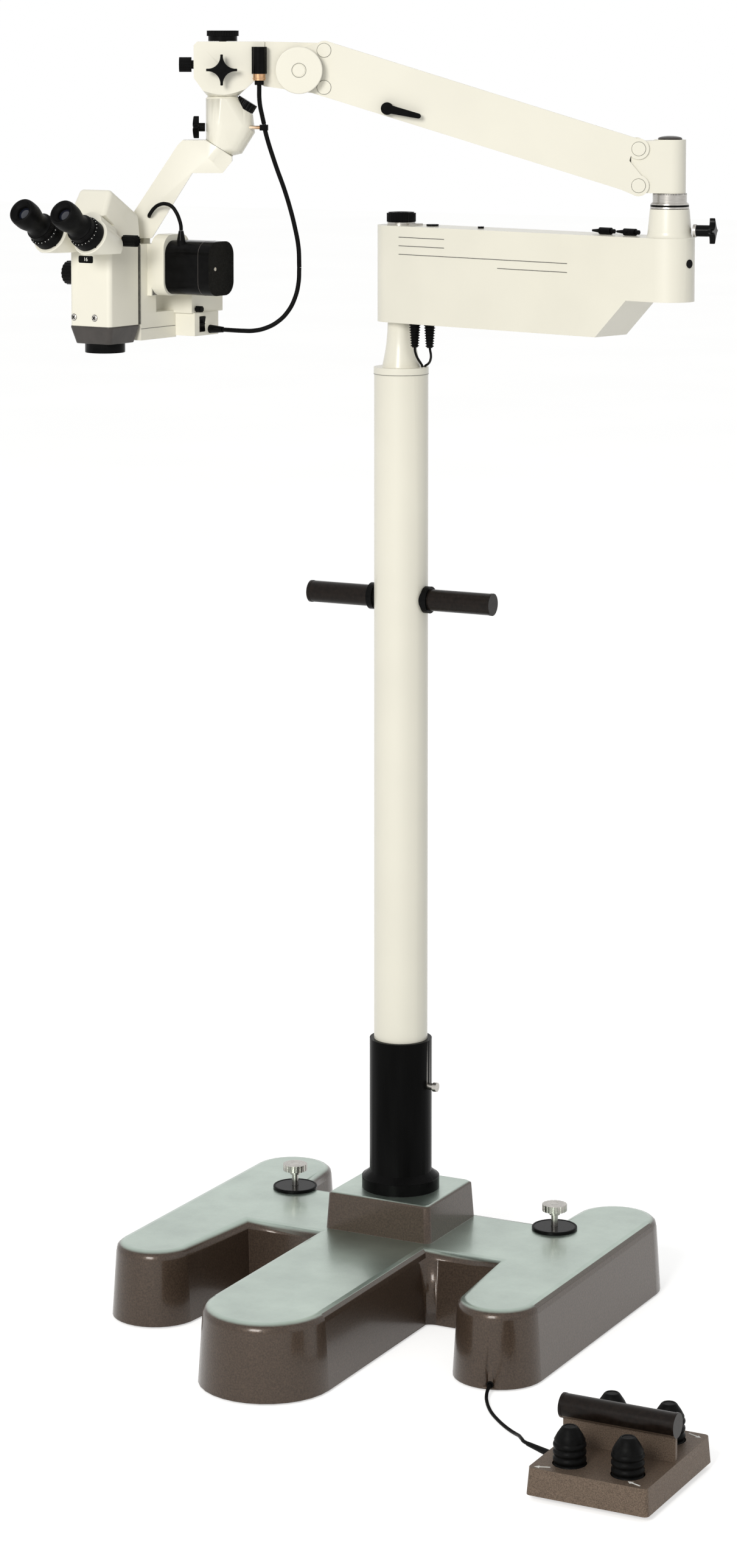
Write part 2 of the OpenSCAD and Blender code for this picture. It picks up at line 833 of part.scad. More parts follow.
module column_head() {
  z = column_top + cap_h;
  color(cream) difference() {
    union() {
      up(column_top - plug_h) cylinder(r = column_r - column_wall - seat, h = plug_h + over);
      up(column_top) cylinder(r = cap_r, h = cap_h);
      up(z - over) rotate_extrude() polygon(concat([[0, 0]],
        [for (t = [0 : 0.125 : 1]) [cone_foot_r + (cone_top_r - cone_foot_r) * t
          - cone_bow * sin(180 * t), over + cone_h * t]], [[0, over + cone_h]]));
      up(z) cylinder(r = pivot_r, h = cone_h + box_h - over);
    }
    up(column_top - plug_h - over) cylinder(r = column_r - 3 * column_wall, h = plug_h - over);
    rotate([0, 0, cap_hole_angle]) translate([cap_hole_x, 0, column_top - plug_h - over])
      cylinder(r = cap_hole_r, h = plug_h + cap_h + 2 * over);
  }
}
module grip_bar() {
  color(black) up(grip_z) to_x() {
    cylinder(r = grip_r, h = 2 * grip_half_l, center = true);
    for (side = [-1, 1]) up(side * (column_r + grip_collar_l / 2))
      cylinder(r = grip_collar_r, h = grip_collar_l - over, center = true);
    for (side = [-1, 1]) up(side * (grip_half_l - grip_cap_l / 2))
      cylinder(r = grip_r + over / 2, h = grip_cap_l, center = true);
  }
}

// Foot switch
module pedal_block(h) {
  hull() for (i = [0, 1]) up(i * (h - slice))
    rounded_box([pedal_w - 2 * i * pedal_draft, pedal_d - 2 * i * pedal_draft, slice], pedal_r);
}
module pedal_housing() {
  color(brown) in_pedal() up(pedal_lift) {
    difference() {
      pedal_block(pedal_h);
      up(pedal_wall) rounded_box([pedal_w - 2 * (pedal_wall + pedal_draft),
        pedal_d - 2 * (pedal_wall + pedal_draft), pedal_h - 2 * pedal_wall], pedal_r - pedal_wall);
      for (x = [-1, 1], y = [-1, 1]) translate([x * button_dx, y * button_dy, pedal_h / 2])
        cylinder(r = button_r + button_hole, h = pedal_h);
      translate([-pedal_w / 2 - over, pedal_gland_y, pedal_gland_z]) to_x()
        cylinder(r = pedal_relief_r + seat, h = pedal_wall + pedal_draft + 2 * over);
    }
    for (x = [-1, 1], y = [-1, 1]) translate([x * button_dx, y * button_dy, pedal_wall]) difference() {
      cylinder(r = button_stem_r + run + stem_guide_wall, h = stem_guide_h);
      cylinder(r = button_stem_r + run, h = stem_guide_h + over);
    }
    translate([-pedal_w / 2 + rest_plate_in, -rest_plate_t / 2, pedal_h - over])
      cube([pedal_w - 2 * rest_plate_in, rest_plate_t, rest_plate_h + over]);
    up(pedal_h + rest_plate_h + footrest_r / 2) to_x() {
      cylinder(r = footrest_r, h = pedal_w - 2 * rest_bar_in, center = true);
      for (side = [-1, 1]) up(side * (pedal_w / 2 - rest_bar_in - rest_cap_l / 2))
        cylinder(r = footrest_r + rest_cap_step, h = rest_cap_l, center = true);
    }
  }
}
module pedal_button(x, y) {
  stem_foot = pedal_lift + pedal_wall + button_travel + gap;
  z = pedal_lift + pedal_h / 2 + button_travel + over;
  top = pedal_lift + pedal_h + button_h;
  rib_h = (top - z) / (2 * button_ribs + 3);
  color(black) in_pedal() translate([x * button_dx, y * button_dy, 0]) {
    up(stem_foot) cylinder(r = button_stem_r, h = z - stem_foot + over);
    rotate_extrude() polygon(concat([[0, z]],
      [for (i = [0 : 2 * button_ribs + 1])
        [i % 2 == 0 ? button_r - button_groove : button_r, z + rib_h * i]],
      [[button_r - rib_h, top - rib_h], [button_cap_r + over, top - over], [button_cap_r, top], [0, top]]));
  }
}
module pedal_button_front_left() { pedal_button(-1, -1); }
module pedal_button_front_right() { pedal_button(1, -1); }
module pedal_button_back_left() { pedal_button(-1, 1); }
module pedal_button_back_right() { pedal_button(1, 1); }
module cord_glands() {
  color(black) {
    in_pedal() translate([-pedal_w / 2, pedal_gland_y, pedal_lift + pedal_gland_z]) {
      rotate([0, -90, 0]) cylinder(r = pedal_gland_r, h = pedal_gland_t);
      to_x() cylinder(r = pedal_relief_r, h = pedal_wall + pedal_draft);
      rotate([0, 0, pedal_relief_turn]) rotate([0, -90, 0])
        cylinder(r1 = pedal_relief_r, r2 = pedal_relief_tip_r, h = pedal_relief_l);
    }
    translate([leg_x, -leg_front_y, grommet_z]) rotate([0, 0, grommet_angle]) to_x() difference() {
      up(leg_front_r - grommet_l) cylinder(r = grommet_r, h = grommet_l);
      up(leg_front_r - grommet_l / 2) cylinder(r = grommet_bore_r, h = grommet_l);
    }
  }
}
module pedal_cord() {
  color(black) translate([leg_x, -leg_front_y, 0]) tube_along(pedal_cord_points, cord_r, 10, 2);
}

// Swing arm
module box_plan(inset) { stadium(0, swing_reach, box_r - inset); }
module slope_cut(drop) {
  rotate([90, 0, 0]) up(-box_w) linear_extrude(2 * box_w) polygon([
    [slope_start, -over], [slope_start, drop], [slope_end, box_step_h + drop],
    [swing_reach + box_w, box_step_h + drop], [swing_reach + box_w, -over]]);
}
module box_housing() {
  color(cream) in_swing() difference() {
    union() {
      difference() {
        up(box_bottom) difference() {
          linear_extrude(box_h) box_plan(0);
          slope_cut(0);
        }
        up(box_bottom) difference() {
          up(box_wall) linear_extrude(box_h - 2 * box_wall) box_plan(box_wall);
          slope_cut(box_wall);
        }
      }
      up(box_bottom) cylinder(r = boss_r, h = box_h - box_wall / 2);
      translate([swing_reach, 0, box_bottom + box_step_h])
        cylinder(r = boss_r, h = box_h - box_step_h - box_wall / 2);
    }
    up(box_bottom - over) cylinder(r = bush_r + seat, h = box_h + 2 * over);
    translate([swing_reach, 0, box_bottom + box_step_h + box_wall])
      cylinder(r = bush_r + seat, h = box_h);
    for (p = boot_places) translate([p[0], p[1], box_bottom - over]) cylinder(r = lead_r, h = box_wall + 2 * over);
    translate([swing_reach + box_r + over, 0, box_top - outlet_drop]) rotate([0, -90, 0])
      cylinder(r = outlet_r + seat, h = box_wall + 2 * over);
  }
}
module bush() {
  difference() {
    cylinder(r = bush_r, h = bush_h);
    up(-over) cylinder(r = pivot_r + run, h = bush_h + 2 * over);
  }
}
module swing_bushes() {
  color(brass) in_swing() {
    up(box_bottom) bush();
    up(box_top - bush_h - over) bush();
    translate([swing_reach, 0, box_top - bush_h]) bush();
    translate([swing_reach, 0, box_bottom + box_step_h + box_wall]) bush();
  }
}
module transformer() {
  color(steel) in_swing() translate([transformer_x, 0, box_bottom + box_wall]) {
    translate([-transformer_l / 2, -transformer_w / 2, 0]) cube([transformer_l, transformer_w, transformer_plate]);
    translate([-core_l / 2, -transformer_w / 2, 0]) cube([core_l, transformer_w, transformer_h]);
    translate([-core_l / 4, -transformer_w / 4, 0]) cube([core_l / 2, transformer_w / 2, core_h]);
  }
}
module box_fittings() {
  in_swing() up(box_top) {
    color(steel) difference() {
      union() {
        cylinder(r = brake_ring_r, h = brake_ring_h);
        translate([brake_ring_r - over, -tab_w / 2, 0]) cube([tab_l, tab_w, tab_h]);
      }
      up(-over) cylinder(r = pivot_r + over, h = brake_ring_h + tab_h);
    }
    color(black) {
      translate([fuse_x, 0, 0]) cylinder(r = fuse_r, h = fuse_h);
      translate([lamp_x, 0, 0]) cylinder(r = lamp_r, h = fuse_h);
      for (i = [0, 1]) translate([plug_x + i * plug_pitch, 0, plug_r]) to_x() {
        cylinder(r = plug_r, h = plug_l, center = true);
        up(-plug_l / 2 - plug_tip_l) cylinder(r1 = plug_tip_r / 2, r2 = plug_tip_r, h = plug_tip_l + over);
        up(plug_l / 2 - over) cylinder(r = plug_tip_r, h = plug_tip_l / 2);
      }
    }
  }
  color(black) in_swing() translate([swing_reach + box_r, 0, box_top - outlet_drop]) rotate([0, -90, 0])
    up(-outlet_h / 2) cylinder(r = outlet_r, h = box_wall + outlet_h);
}
// The leads of the two ribbed boots meet at the hole in the column's cap
module swing_cables() {
  rib_h = boot_l / (2 * boot_ribs);
  color(black) in_swing() for (k = [0, 1]) {
    translate([boot_places[k][0], boot_places[k][1], box_bottom - boot_l]) rotate_extrude()
      polygon(concat([[0, 0]], [for (i = [0 : 2 * boot_ribs])
        [boot_tip_r + (boot_r - boot_tip_r) * i / (2 * boot_ribs) + (i % 2) * boot_rib, rib_h * i]],
        [[0, boot_l]]));
    tube_along(boot_leads[k], boot_lead_r, 8, 3);
  }
}
module yoke_socket() {
  color(cream) in_swing() translate([swing_reach, 0, box_top]) difference() {
    rotate_extrude() polygon(concat([[bush_r + seat, 0]],
      [for (a = [0 : 15 : 90]) [socket_foot_r - (socket_foot_r - socket_top_r) * 0.6 * sin(a), socket_flare * (1 - cos(a))]],
      [[socket_top_r, socket_h], [pivot_r + run, socket_h], [pivot_r + run, socket_h - bush_h / 2],
      [bush_r + seat, socket_h - bush_h / 2]]));
    rotate([0, 0, socket_knob_angle]) up(socket_knob_z) to_x()
      cylinder(r = star_pin_r + run, h = socket_foot_r + over);
  }
}
module brake_knob() {
  color(black) in_swing() up(box_top + brake_ring_h + gap) difference() {
    union() {
      fluted_knob(brake_knob_r, brake_knob_h - over, knob_flutes * 2);
      cylinder(r = brake_knob_r - 3 * over, h = brake_knob_h);
      up(-brake_ring_h - gap + over) cylinder(r = pivot_r, h = brake_ring_h);
    }
    up(brake_knob_h - over) cylinder(r = brake_knob_r / 2, h = 2 * over);
  }
}
module socket_knob() {
  color(black) in_swing() translate([swing_reach, 0, box_top + socket_knob_z])
    rotate([0, 0, socket_knob_angle]) to_x() up(socket_foot_r) {
      star_knob(star_r, star_h, star_r + star_neck_r / 2, star_shaft_r, star_pin_r, star_pin_l);
      cylinder(r = star_neck_r, h = star_neck_r / 2);
    }
}

// Yoke
module yoke_spindle() {
  color(steel) in_swing() translate([swing_reach, 0, 0]) {
    up(spindle_foot_z) cylinder(r = pivot_r, h = ring_base - spindle_foot_z + over);
    up(ring_base) cylinder(r1 = ring_r, r2 = ring_r - over, h = ring_h);
    up(ring_base + ring_h - over) cylinder(r = collar_r, h = collar_h + over);
    up(post_base - over) cylinder(r = stub_r, h = post_h + 2 * over);
    up(post_top + seat) rotate_extrude() polygon(concat([[0, 0]],
      [for (a = [0 : 15 : 90]) [dome_r * cos(a), dome_h * 0.3 + dome_h * 0.7 * sin(a)]], [[0, dome_h]]));
    up(post_top + seat) cylinder(r = dome_r, h = dome_h * 0.3);
  }
}
module tongue_plan(x, up_z, low_z, root_x, root_up, root_low) {
  translate([x, up_z]) circle(tongue_lobe_r);
  translate([x, low_z]) circle(tongue_lobe_r);
  polygon([[x, up_z + tongue_lobe_r], [root_x, root_up], [root_x, root_low], [x, low_z - tongue_lobe_r]]);
  translate([x - tongue_lobe_r, low_z]) square([2 * tongue_lobe_r, up_z - low_z]);
}
module yoke_post() {
  color(cream) in_arm() {
    difference() {
      union() {
        up(post_base) cylinder(r = post_r, h = post_h);
        rotate([90, 0, 0]) up(-tongue_w / 2) linear_extrude(tongue_w)
          tongue_plan(yoke_pivot_x, yoke_up_z, yoke_low_z, 0, post_top, post_base);
      }
      up(post_base - over) cylinder(r = stub_r + seat, h = post_h + 2 * over);
      translate([yoke_pivot_x, 0, yoke_up_z]) rotate([90, 0, 0])
        cylinder(r = pin_r + run, h = 2 * tongue_w, center = true);
      translate([post_r + over, -slot_w / 2, yoke_low_z - 2 * tie_eye_r])
        cube([link_l, slot_w, pivot_gap + tie_eye_r]);
    }
    translate([yoke_pivot_x, 0, yoke_low_z]) rotate([90, 0, 0]) cylinder(r = pin_r, h = tongue_w, center = true);
  }
}

// Parallelogram arm, drawn along the line of its upper pivots
module cheek_plan() {
  translate([cover_lobe_r / 2, -cover_down]) square([link_l - cover_lobe_r / 2, cover_up + cover_down]);
  circle(cover_lobe_r);
  translate([low_pivot_x, low_pivot_z]) circle(cover_lobe_r);
  polygon([[cover_lobe_r / 2, -cover_down], [low_pivot_x, low_pivot_z - cover_lobe_r],
    [low_pivot_x, low_pivot_z + cover_lobe_r], [cover_lobe_r / 2, low_pivot_z + 2 * cover_lobe_r]]);
  translate([link_l, 0]) circle(cover_up);
  translate([link_l + dial_x, -dial_drop]) circle(cheek_end_r);
  polygon([[link_l, cover_up], [link_l + dial_x + cheek_end_r * 0.6, -dial_drop + cheek_end_r * 0.8],
    [link_l + dial_x, -dial_drop - cheek_end_r], [link_l, -cover_down]]);
}
module arm_cover() {
  half = cover_w / 2;
  color(cream) in_lift() difference() {
    union() {
      for (side = [-1, 1]) translate([0, side * (half - cover_wall / 2), 0]) rotate([90, 0, 0])
        linear_extrude(cover_wall, center = true) cheek_plan();
      translate([cover_top_in, -half + over, cover_up - cover_plate_t])
        cube([link_l - 2 * cover_top_in, cover_w - 2 * over, cover_plate_t]);
      translate([cover_low_in, -half + over, -cover_down])
        cube([link_l - 2 * cover_low_in, cover_w - 2 * over, cover_plate_t]);
    }
    for (x = [0, link_l]) translate([x, 0, 0]) rotate([90, 0, 0])
      cylinder(r = pin_r + seat, h = cover_w + 2 * over, center = true);
    translate([clamp_x, half - cover_wall - over, -clamp_drop]) to_y()
      cylinder(r = star_pin_r + run, h = cover_wall + 2 * over);
    translate([link_l + dial_x, half - cover_wall - over, -dial_drop]) to_y()
      cylinder(r = dial_pin_r + run, h = cover_wall + 2 * over);
  }
}
module pivot_pins() {
  color(cream) in_lift() for (x = [0, link_l]) {
    translate([x, 0, 0]) rotate([90, 0, 0]) cylinder(r = pin_r, h = cover_w, center = true);
    for (side = [-1, 1], p = [[x, 0], [x + low_pivot_x, low_pivot_z]])
      translate([p[0], side * (cover_w + pin_cap_h) / 2, p[1]]) rotate([90, 0, 0])
      cylinder(r = pin_cap_r, h = pin_cap_h, center = true);
  }
}
module balance_spring() {
  color(steel) in_lift() translate([spring_x, 0, -spring_drop]) to_x() difference() {
    cylinder(r = spring_r, h = spring_l);
    for (i = [0 : 11]) up(spring_l * (i + 0.5) / 12) difference() {
      cylinder(r = spring_r + over, h = spring_wall);
      up(-over) cylinder(r = spring_r - spring_wall, h = spring_wall + 2 * over);
    }
  }
  color(steel) in_lift() for (x = [spring_x, spring_x + spring_l])
    translate([x, 0, spring_r - spring_drop - over])
    cylinder(r = spring_rod_r, h = cover_up - cover_plate_t + spring_drop - spring_r + over);
}
module clamp_lever() {
  half = cover_w / 2;
  color(black) in_lift() translate([clamp_x, half, -clamp_drop]) to_y() {
    up(-cover_wall) cylinder(r = star_pin_r, h = cover_wall + over);
    up(gap) cylinder(r = clamp_hub_r, h = clamp_hub_h);
    up(gap + clamp_hub_h - clamp_arm_t) rotate([0, 0, clamp_turn])
      linear_extrude(clamp_arm_t) {
        polygon([[0, -clamp_hub_r * 0.7], [clamp_l, -clamp_tip_r], [clamp_l, clamp_tip_r], [0, clamp_hub_r * 0.7]]);
        translate([clamp_l, 0]) circle(clamp_tip_r);
      }
  }
}
module balance_dial() {
  half = cover_w / 2;
  color(cream) in_lift() translate([link_l + dial_x, half, -dial_drop]) to_y() difference() {
    union() {
      up(-cover_wall) cylinder(r = dial_pin_r, h = cover_wall + over);
      up(gap) cylinder(r = dial_hub_r, h = dial_gap + over);
      up(dial_gap) cylinder(r = dial_r, h = dial_h - over);
      up(dial_gap + dial_h - over) cylinder(r1 = dial_r, r2 = dial_r - over, h = over);
    }
    up(dial_gap + dial_h - over / 2) cylinder(r = dial_face_r, h = over);
  }
}
module tie_rod() {
  color(steel) in_arm() translate([yoke_pivot_x, 0, yoke_low_z]) rotate([0, -lift_angle, 0]) difference() {
    union() {
      translate([0, -tie_t / 2, -tie_half_h]) cube([link_l, tie_t, 2 * tie_half_h]);
      for (x = [0, link_l]) translate([x, 0, 0]) rotate([90, 0, 0]) cylinder(r = tie_eye_r, h = tie_t, center = true);
    }
    rotate([90, 0, 0]) cylinder(r = pin_r + run, h = 2 * tie_t, center = true);
    translate([link_l, 0, 0]) rotate([90, 0, 0]) cylinder(r = pin_r + tie_open, h = 2 * tie_t, center = true);
  }
}

// Head
module head_outline() {
  neck = head_bottom + head_neck_rise;
  polygon([[-head_wide, head_top], [head_left - head_corner, head_top], [head_left, head_top - head_corner],
    [head_left, head_bottom + head_chamfer_z + head_corner], [head_boss_r, head_bottom], [-head_boss_r, head_bottom],
    [-head_chamfer_x, head_bottom + head_chamfer_z], [-head_wide, neck]]);
}
module head_block() {
  neck = head_bottom + head_neck_rise;
  color(cream) in_head() {
    difference() {
      union() {
        intersection() {
          rotate([90, 0, 0]) up(-head_half_t) linear_extrude(2 * head_half_t) head_outline();
          union() {
            up(head_bottom) cylinder(r1 = head_boss_r, r2 = head_boss_r + 2 * head_chamfer_z, h = head_chamfer_z);
            translate([-head_wide - over, -head_half_t - over, head_bottom + head_chamfer_z])
              cube([2 * head_wide, 2 * head_half_t + 2 * over, head_top]);
            translate([-head_wide - over, -head_half_t - over, neck])
              cube([head_wide - head_chamfer_x + over, 2 * head_half_t + 2 * over, head_top]);
          }
        }
        rotate([90, 0, 0]) up(-tongue_w / 2) linear_extrude(tongue_w)
          tongue_plan(-head_reach, head_up_z, head_low_z, -head_wide + over, head_top, neck);
      }
      up(head_bottom - over) cylinder(r = spindle_r + run, h = head_spindle_l + 2 * over);
      up(head_top - knob_stem_l - over) cylinder(r = knob_stem_r + run, h = knob_stem_l + 2 * over);
      translate([head_left - knob_stem_l - over, 0, head_bottom + side_knob_z]) to_x()
        cylinder(r = star_pin_r + run, h = knob_stem_l + 2 * over);
      translate([0, head_half_t - knob_stem_l, head_bottom + star_knob_z]) to_y()
        cylinder(r = star_pin_r + run, h = knob_stem_l + over);
      translate([-head_reach, 0, head_up_z]) rotate([90, 0, 0])
        cylinder(r = pin_r + run, h = 2 * tongue_w, center = true);
      translate([-head_reach - 2 * tongue_lobe_r, -slot_w / 2, head_low_z - 2 * tie_eye_r])
        cube([2 * tongue_lobe_r + 3 * tie_eye_r, slot_w, pivot_gap + tie_eye_r]);
    }
    translate([-head_reach, 0, head_low_z]) rotate([90, 0, 0]) cylinder(r = pin_r, h = tongue_w, center = true);
  }
}
module light_connector() {
  z = head_top - connector_drop;
  color(black) in_head() translate([connector_x, head_half_t, z - connector_h]) {
    translate([-connector_w / 2, 0, 0]) cube([connector_w, connector_d / 2, connector_h]);
    translate([0, connector_d / 2, 0]) cylinder(r = connector_d / 2, h = connector_h);
  }
  color(brass) in_head() translate([connector_x, head_half_t + connector_d / 2, z - connector_h - connector_collar_h])
    cylinder(r = connector_collar_r, h = connector_collar_h);
}
module light_cable_upper() { color(black) in_head() tube_along(light_upper_points, light_r, 10, 3); }
module head_top_knob() {
  color(black) in_head() up(head_top) {
    up(-knob_stem_l) cylinder(r = knob_stem_r, h = knob_stem_l + over);
    up(gap) cylinder(r = top_knob_r, h = top_knob_h - over);
    up(top_knob_h / 2) fluted_knob(top_knob_rim_r, top_knob_h / 2, knob_flutes * 2);
  }
}
module head_side_knob() {
  color(black) in_head() translate([head_left, 0, head_bottom + side_knob_z]) to_x() {
    up(-knob_stem_l) cylinder(r = star_pin_r, h = knob_stem_l + over);
    up(gap) cylinder(r = side_neck_r, h = side_neck_l + over);
    up(side_neck_l) fluted_knob(side_knob_r, side_knob_l, knob_flutes);
  }
}
module head_star_knob() {
  color(black) in_head() translate([0, head_half_t + gap, head_bottom + star_knob_z]) to_y()
    star_knob(star_knob_r, star_h, star_standoff, star_shaft_r, star_pin_r, star_pin_l);
}

// Coupler
module coupler_body() {
  color(cream) difference() {
    union() {
      hull() {
        in_head() up(coupler_top - slice) cylinder(r = coupler_neck_r, h = slice, $fn = hull_fn);
        in_head() up(tilt_z + tilt_face_r) cylinder(r = coupler_r, h = coupler_top - tilt_z - tilt_face_r - coupler_round, $fn = hull_fn);
        in_tilt() up(-tilt_face) cylinder(r = tilt_face_r, h = slice, $fn = hull_fn);
        in_tilt() translate([-tilt_bulge, 0, 0])
          cylinder(r = tilt_face_r, h = tilt_bulge_end, $fn = hull_fn);
        in_tilt() up(tilt_seat) cylinder(r = tilt_seat_r, h = gap, $fn = hull_fn);
      }
      in_head() up(coupler_top - over) cylinder(r = spindle_r, h = head_spindle_l);
      in_head() rotate([0, 0, clip_angle]) translate([coupler_neck_r / 2, 0, tilt_z + clip_z]) to_x()
        cylinder(r = clip_stub_r, h = clip_reach - (coupler_neck_r + clip_r + light_r) / 2);
    }
    in_tilt() up(-tilt_face - over) rotate([0, 0, seam_turn])
      cylinder(r = tilt_pin_r + run, h = tilt_pin_l + tilt_face + 2 * over);
    in_tilt() up(tilt_seat - knob_stem_l) cylinder(r = star_pin_r + run, h = knob_stem_l + over);
    in_tilt() up(tilt_seat) cylinder(r = tilt_knob_r + tilt_clear, h = 2 * tilt_knob_h);
    in_head() up(tilt_z + coupler_star_z) to_x() rotate([0, 0, seam_turn])
      cylinder(r = star_pin_r + run, h = coupler_r + over);
  }
  color(black) in_head() rotate([0, 0, clip_angle]) translate([clip_reach, 0, tilt_z + clip_z - clip_l / 2]) difference() {
    cylinder(r = clip_r, h = clip_l);
    up(-over) cylinder(r = light_r + seat, h = clip_l + 2 * over);
  }
}
module light_cable_middle() { color(black) in_head() tube_along(light_middle_points, light_r, 10, 2); }
module coupler_star() {
  color(black) in_head() translate([coupler_r + gap, 0, tilt_z + coupler_star_z]) to_x()
    star_knob(coupler_star_r, coupler_star_h, coupler_star_h, coupler_star_shaft_r, star_pin_r, star_pin_l);
}
module tilt_knob() {
  color(black) in_tilt() up(tilt_seat) {
    up(-knob_stem_l + over) cylinder(r = star_pin_r, h = knob_stem_l);
    up(gap) fluted_knob(tilt_knob_r, tilt_knob_h, knob_flutes);
  }
}

// Bracket
module bracket_outline() {
  face = tilt_face + gap + bracket_lip;
  reach = tilt_face_r - bracket_lip;
  left_x = face * sin(tilt_angle) + reach * cos(tilt_angle);
  left_z = -face * cos(tilt_angle) + reach * sin(tilt_angle);
  right_x = face * sin(tilt_angle) - reach * cos(tilt_angle);
  right_z = -face * cos(tilt_angle) - reach * sin(tilt_angle);
  low_z = left_z - bracket_head_h;
  foot_z = body_top - tilt_z + bracket_foot_h / 2;
  run_x = (left_z - foot_z) * tan(tilt_angle);
  half = bracket_arm_w / cos(tilt_angle) / 2;
  mid = bracket_left + run_x - half;
  polygon([[right_x, right_z], [left_x, left_z], [bracket_left - bracket_round, left_z],
    [bracket_left, left_z - bracket_round], [bracket_left + run_x, foot_z],
    [mid - half, foot_z], [bracket_left - 2 * half + (left_z - low_z) * tan(tilt_angle), low_z],
    [right_x + bracket_round * 1.8, low_z], [right_x, right_z - bracket_round]]);
}
module bracket_arm() {
  foot = body_top + bracket_foot_h / 2;
  color(cream) {
    in_head() up(tilt_z) rotate([90, 0, 0]) up(-bracket_t / 2)
      linear_extrude(bracket_t) bracket_outline();
    in_tilt() up(-tilt_face - gap - bracket_disc_h) cylinder(r = tilt_face_r, h = bracket_disc_h);
    in_tilt() up(-tilt_face - gap - over) cylinder(r = tilt_pin_r, h = tilt_pin_l + tilt_face);
    in_head() translate([rail_reach, 0, foot]) cylinder(r = bracket_foot_r, h = 2 * bracket_foot_h);
    in_scope() up(body_top - carriage_h + rail_lift) linear_extrude(carriage_h) {
      polygon([[-rail_wide / 2, rail_y], [rail_wide / 2, rail_y], [rail_narrow / 2, rail_y + rail_depth + over],
        [-rail_narrow / 2, rail_y + rail_depth + over]]);
      translate([-rail_post_w / 2, rail_y + rail_depth]) square([rail_post_w, rail_post_d]);
    }
    in_scope() translate([-rail_post_w / 2, rail_y + rail_depth, body_top]) cube([rail_post_w, rail_post_d, bracket_foot_h]);
  }
}
module light_cable_lower() { color(black) in_head() tube_along(light_lower_points, light_r, 10, 2); }

// Microscope
module scope_body() {
  color(cream) in_scope() difference() {
    up(body_bottom) rounded_box([body_w, body_d, body_h], body_corner);
    up(body_bottom - over) rounded_box([body_w - 2 * body_wall, body_d - 2 * body_wall, body_h - body_wall + over], body_corner - body_wall);
    translate([-body_w / 2 - over, 0, body_top - mag_drop]) to_x() cylinder(r = star_pin_r + run, h = body_wall + 2 * over);
    translate([window_x - window_w / 2, -body_d / 2 - over, body_top - window_drop - window_h])
      cube([window_w, window_depth + over, window_h]);
    up(body_top - body_wall - over) cylinder(r = lens_r, h = body_wall + 2 * over);
  }
}
module scope_skirt() {
  color(black) in_scope() {
    up(body_bottom - skirt_h) difference() {
      hull() {
        up(skirt_h - skirt_lip_h)
          rounded_box([body_w + skirt_lip, body_d + skirt_lip, skirt_lip_h], body_corner);
        rounded_box([body_w - 2 * skirt_taper, body_d - 2 * skirt_taper, slice], body_corner);
      }
      up(-over) cylinder(r = lens_r + seat, h = skirt_h + 2 * over);
    }
    up(body_bottom - skirt_h - ring_len) difference() {
      cylinder(r = objective_r, h = ring_len + over);
      up(-over) cylinder(r = lens_r + seat, h = ring_len + 3 * over);
    }
  }
}
module objective_lens() {
  color([0.6, 0.7, 0.8]) in_scope() up(body_bottom - skirt_h - ring_len / 2) {
    cylinder(r = lens_r, h = lens_t);
    up(lens_t - over) cylinder(r1 = lens_r * 0.8, r2 = lens_r * 0.5, h = lens_t / 2);
  }
}
// A point of the prism plane: forward along the eyepieces' axis, and up square to it
function eye_point(forward, up) = [eye_y - forward * cos(eye_tilt) + up * sin(eye_tilt),
  eye_z + forward * sin(eye_tilt) + up * cos(eye_tilt)];
module tube_head() {
  base = body_top + seat;
  back_up = (base - eye_point(-prism_d - gap, 0)[1]) / cos(eye_tilt);
  color(cream) difference() {
    intersection() {
      in_scope() rotate([90, 0, 90]) up(-head_half_w) linear_extrude(2 * head_half_w)
        polygon([eye_point(-prism_d - gap, back_up), [body_d / 2, base], [body_d / 2, base + tube_rear_h],
          [tube_front_y, base + tube_front_h], eye_point(-nose_depth, nose_from),
          eye_point(-prism_d - gap, nose_from)]);
      in_scope() translate([0, -eye_y, base]) rotate([90, 0, 0]) linear_extrude(-4 * eye_y) polygon([
        [-head_half_w, -over], [head_half_w, -over], [head_top_half_w, tube_front_h],
        [-head_top_half_w, tube_front_h]]);
    }
    for (side = [-1, 1]) in_eye(side) translate([-side * prism_pivot_in, prism_pivot_up, -prism_d - prism_pin_l - over])
      cylinder(r = prism_pin_r + run, h = prism_pin_l + 2 * over);
    in_scope() translate([head_half_w - lock_pin_l - over, lock_y, body_top + lock_rise]) to_x()
      cylinder(r = lock_neck_r / 2 + run, h = lock_pin_l + 2 * over);
  }
}
module focus_carriage() {
  half = body_w / 2;
  front = body_d / 2 + rail_gap;
  color(cream) in_scope() {
    up(body_top - carriage_h) linear_extrude(carriage_h) difference() {
      translate([-carriage_left, front]) square([carriage_left + half, carriage_back - front]);
      polygon([[-rail_wide / 2 - rail_gap, rail_y - rail_gap], [rail_wide / 2 + rail_gap, rail_y - rail_gap],
        [rail_narrow / 2 + rail_gap, rail_y + rail_depth + over], [-rail_narrow / 2 - rail_gap, rail_y + rail_depth + over]]);
    }
    translate([half - over, body_d / 2 + adaptor_front, body_top - adaptor_low])
      cube([adaptor_step + over, carriage_back - body_d / 2 - adaptor_front, adaptor_low]);
    translate([half + adaptor_step, body_d / 2 + adaptor_front + motor_d / 2, body_top - adaptor_low])
      rotate([90, 0, 90]) linear_extrude(adaptor_l - adaptor_step)
      translate([0, (adaptor_low + adaptor_high) / 2]) rounded_plate([motor_d + 2 * over, adaptor_low + adaptor_high], motor_r);
  }
}
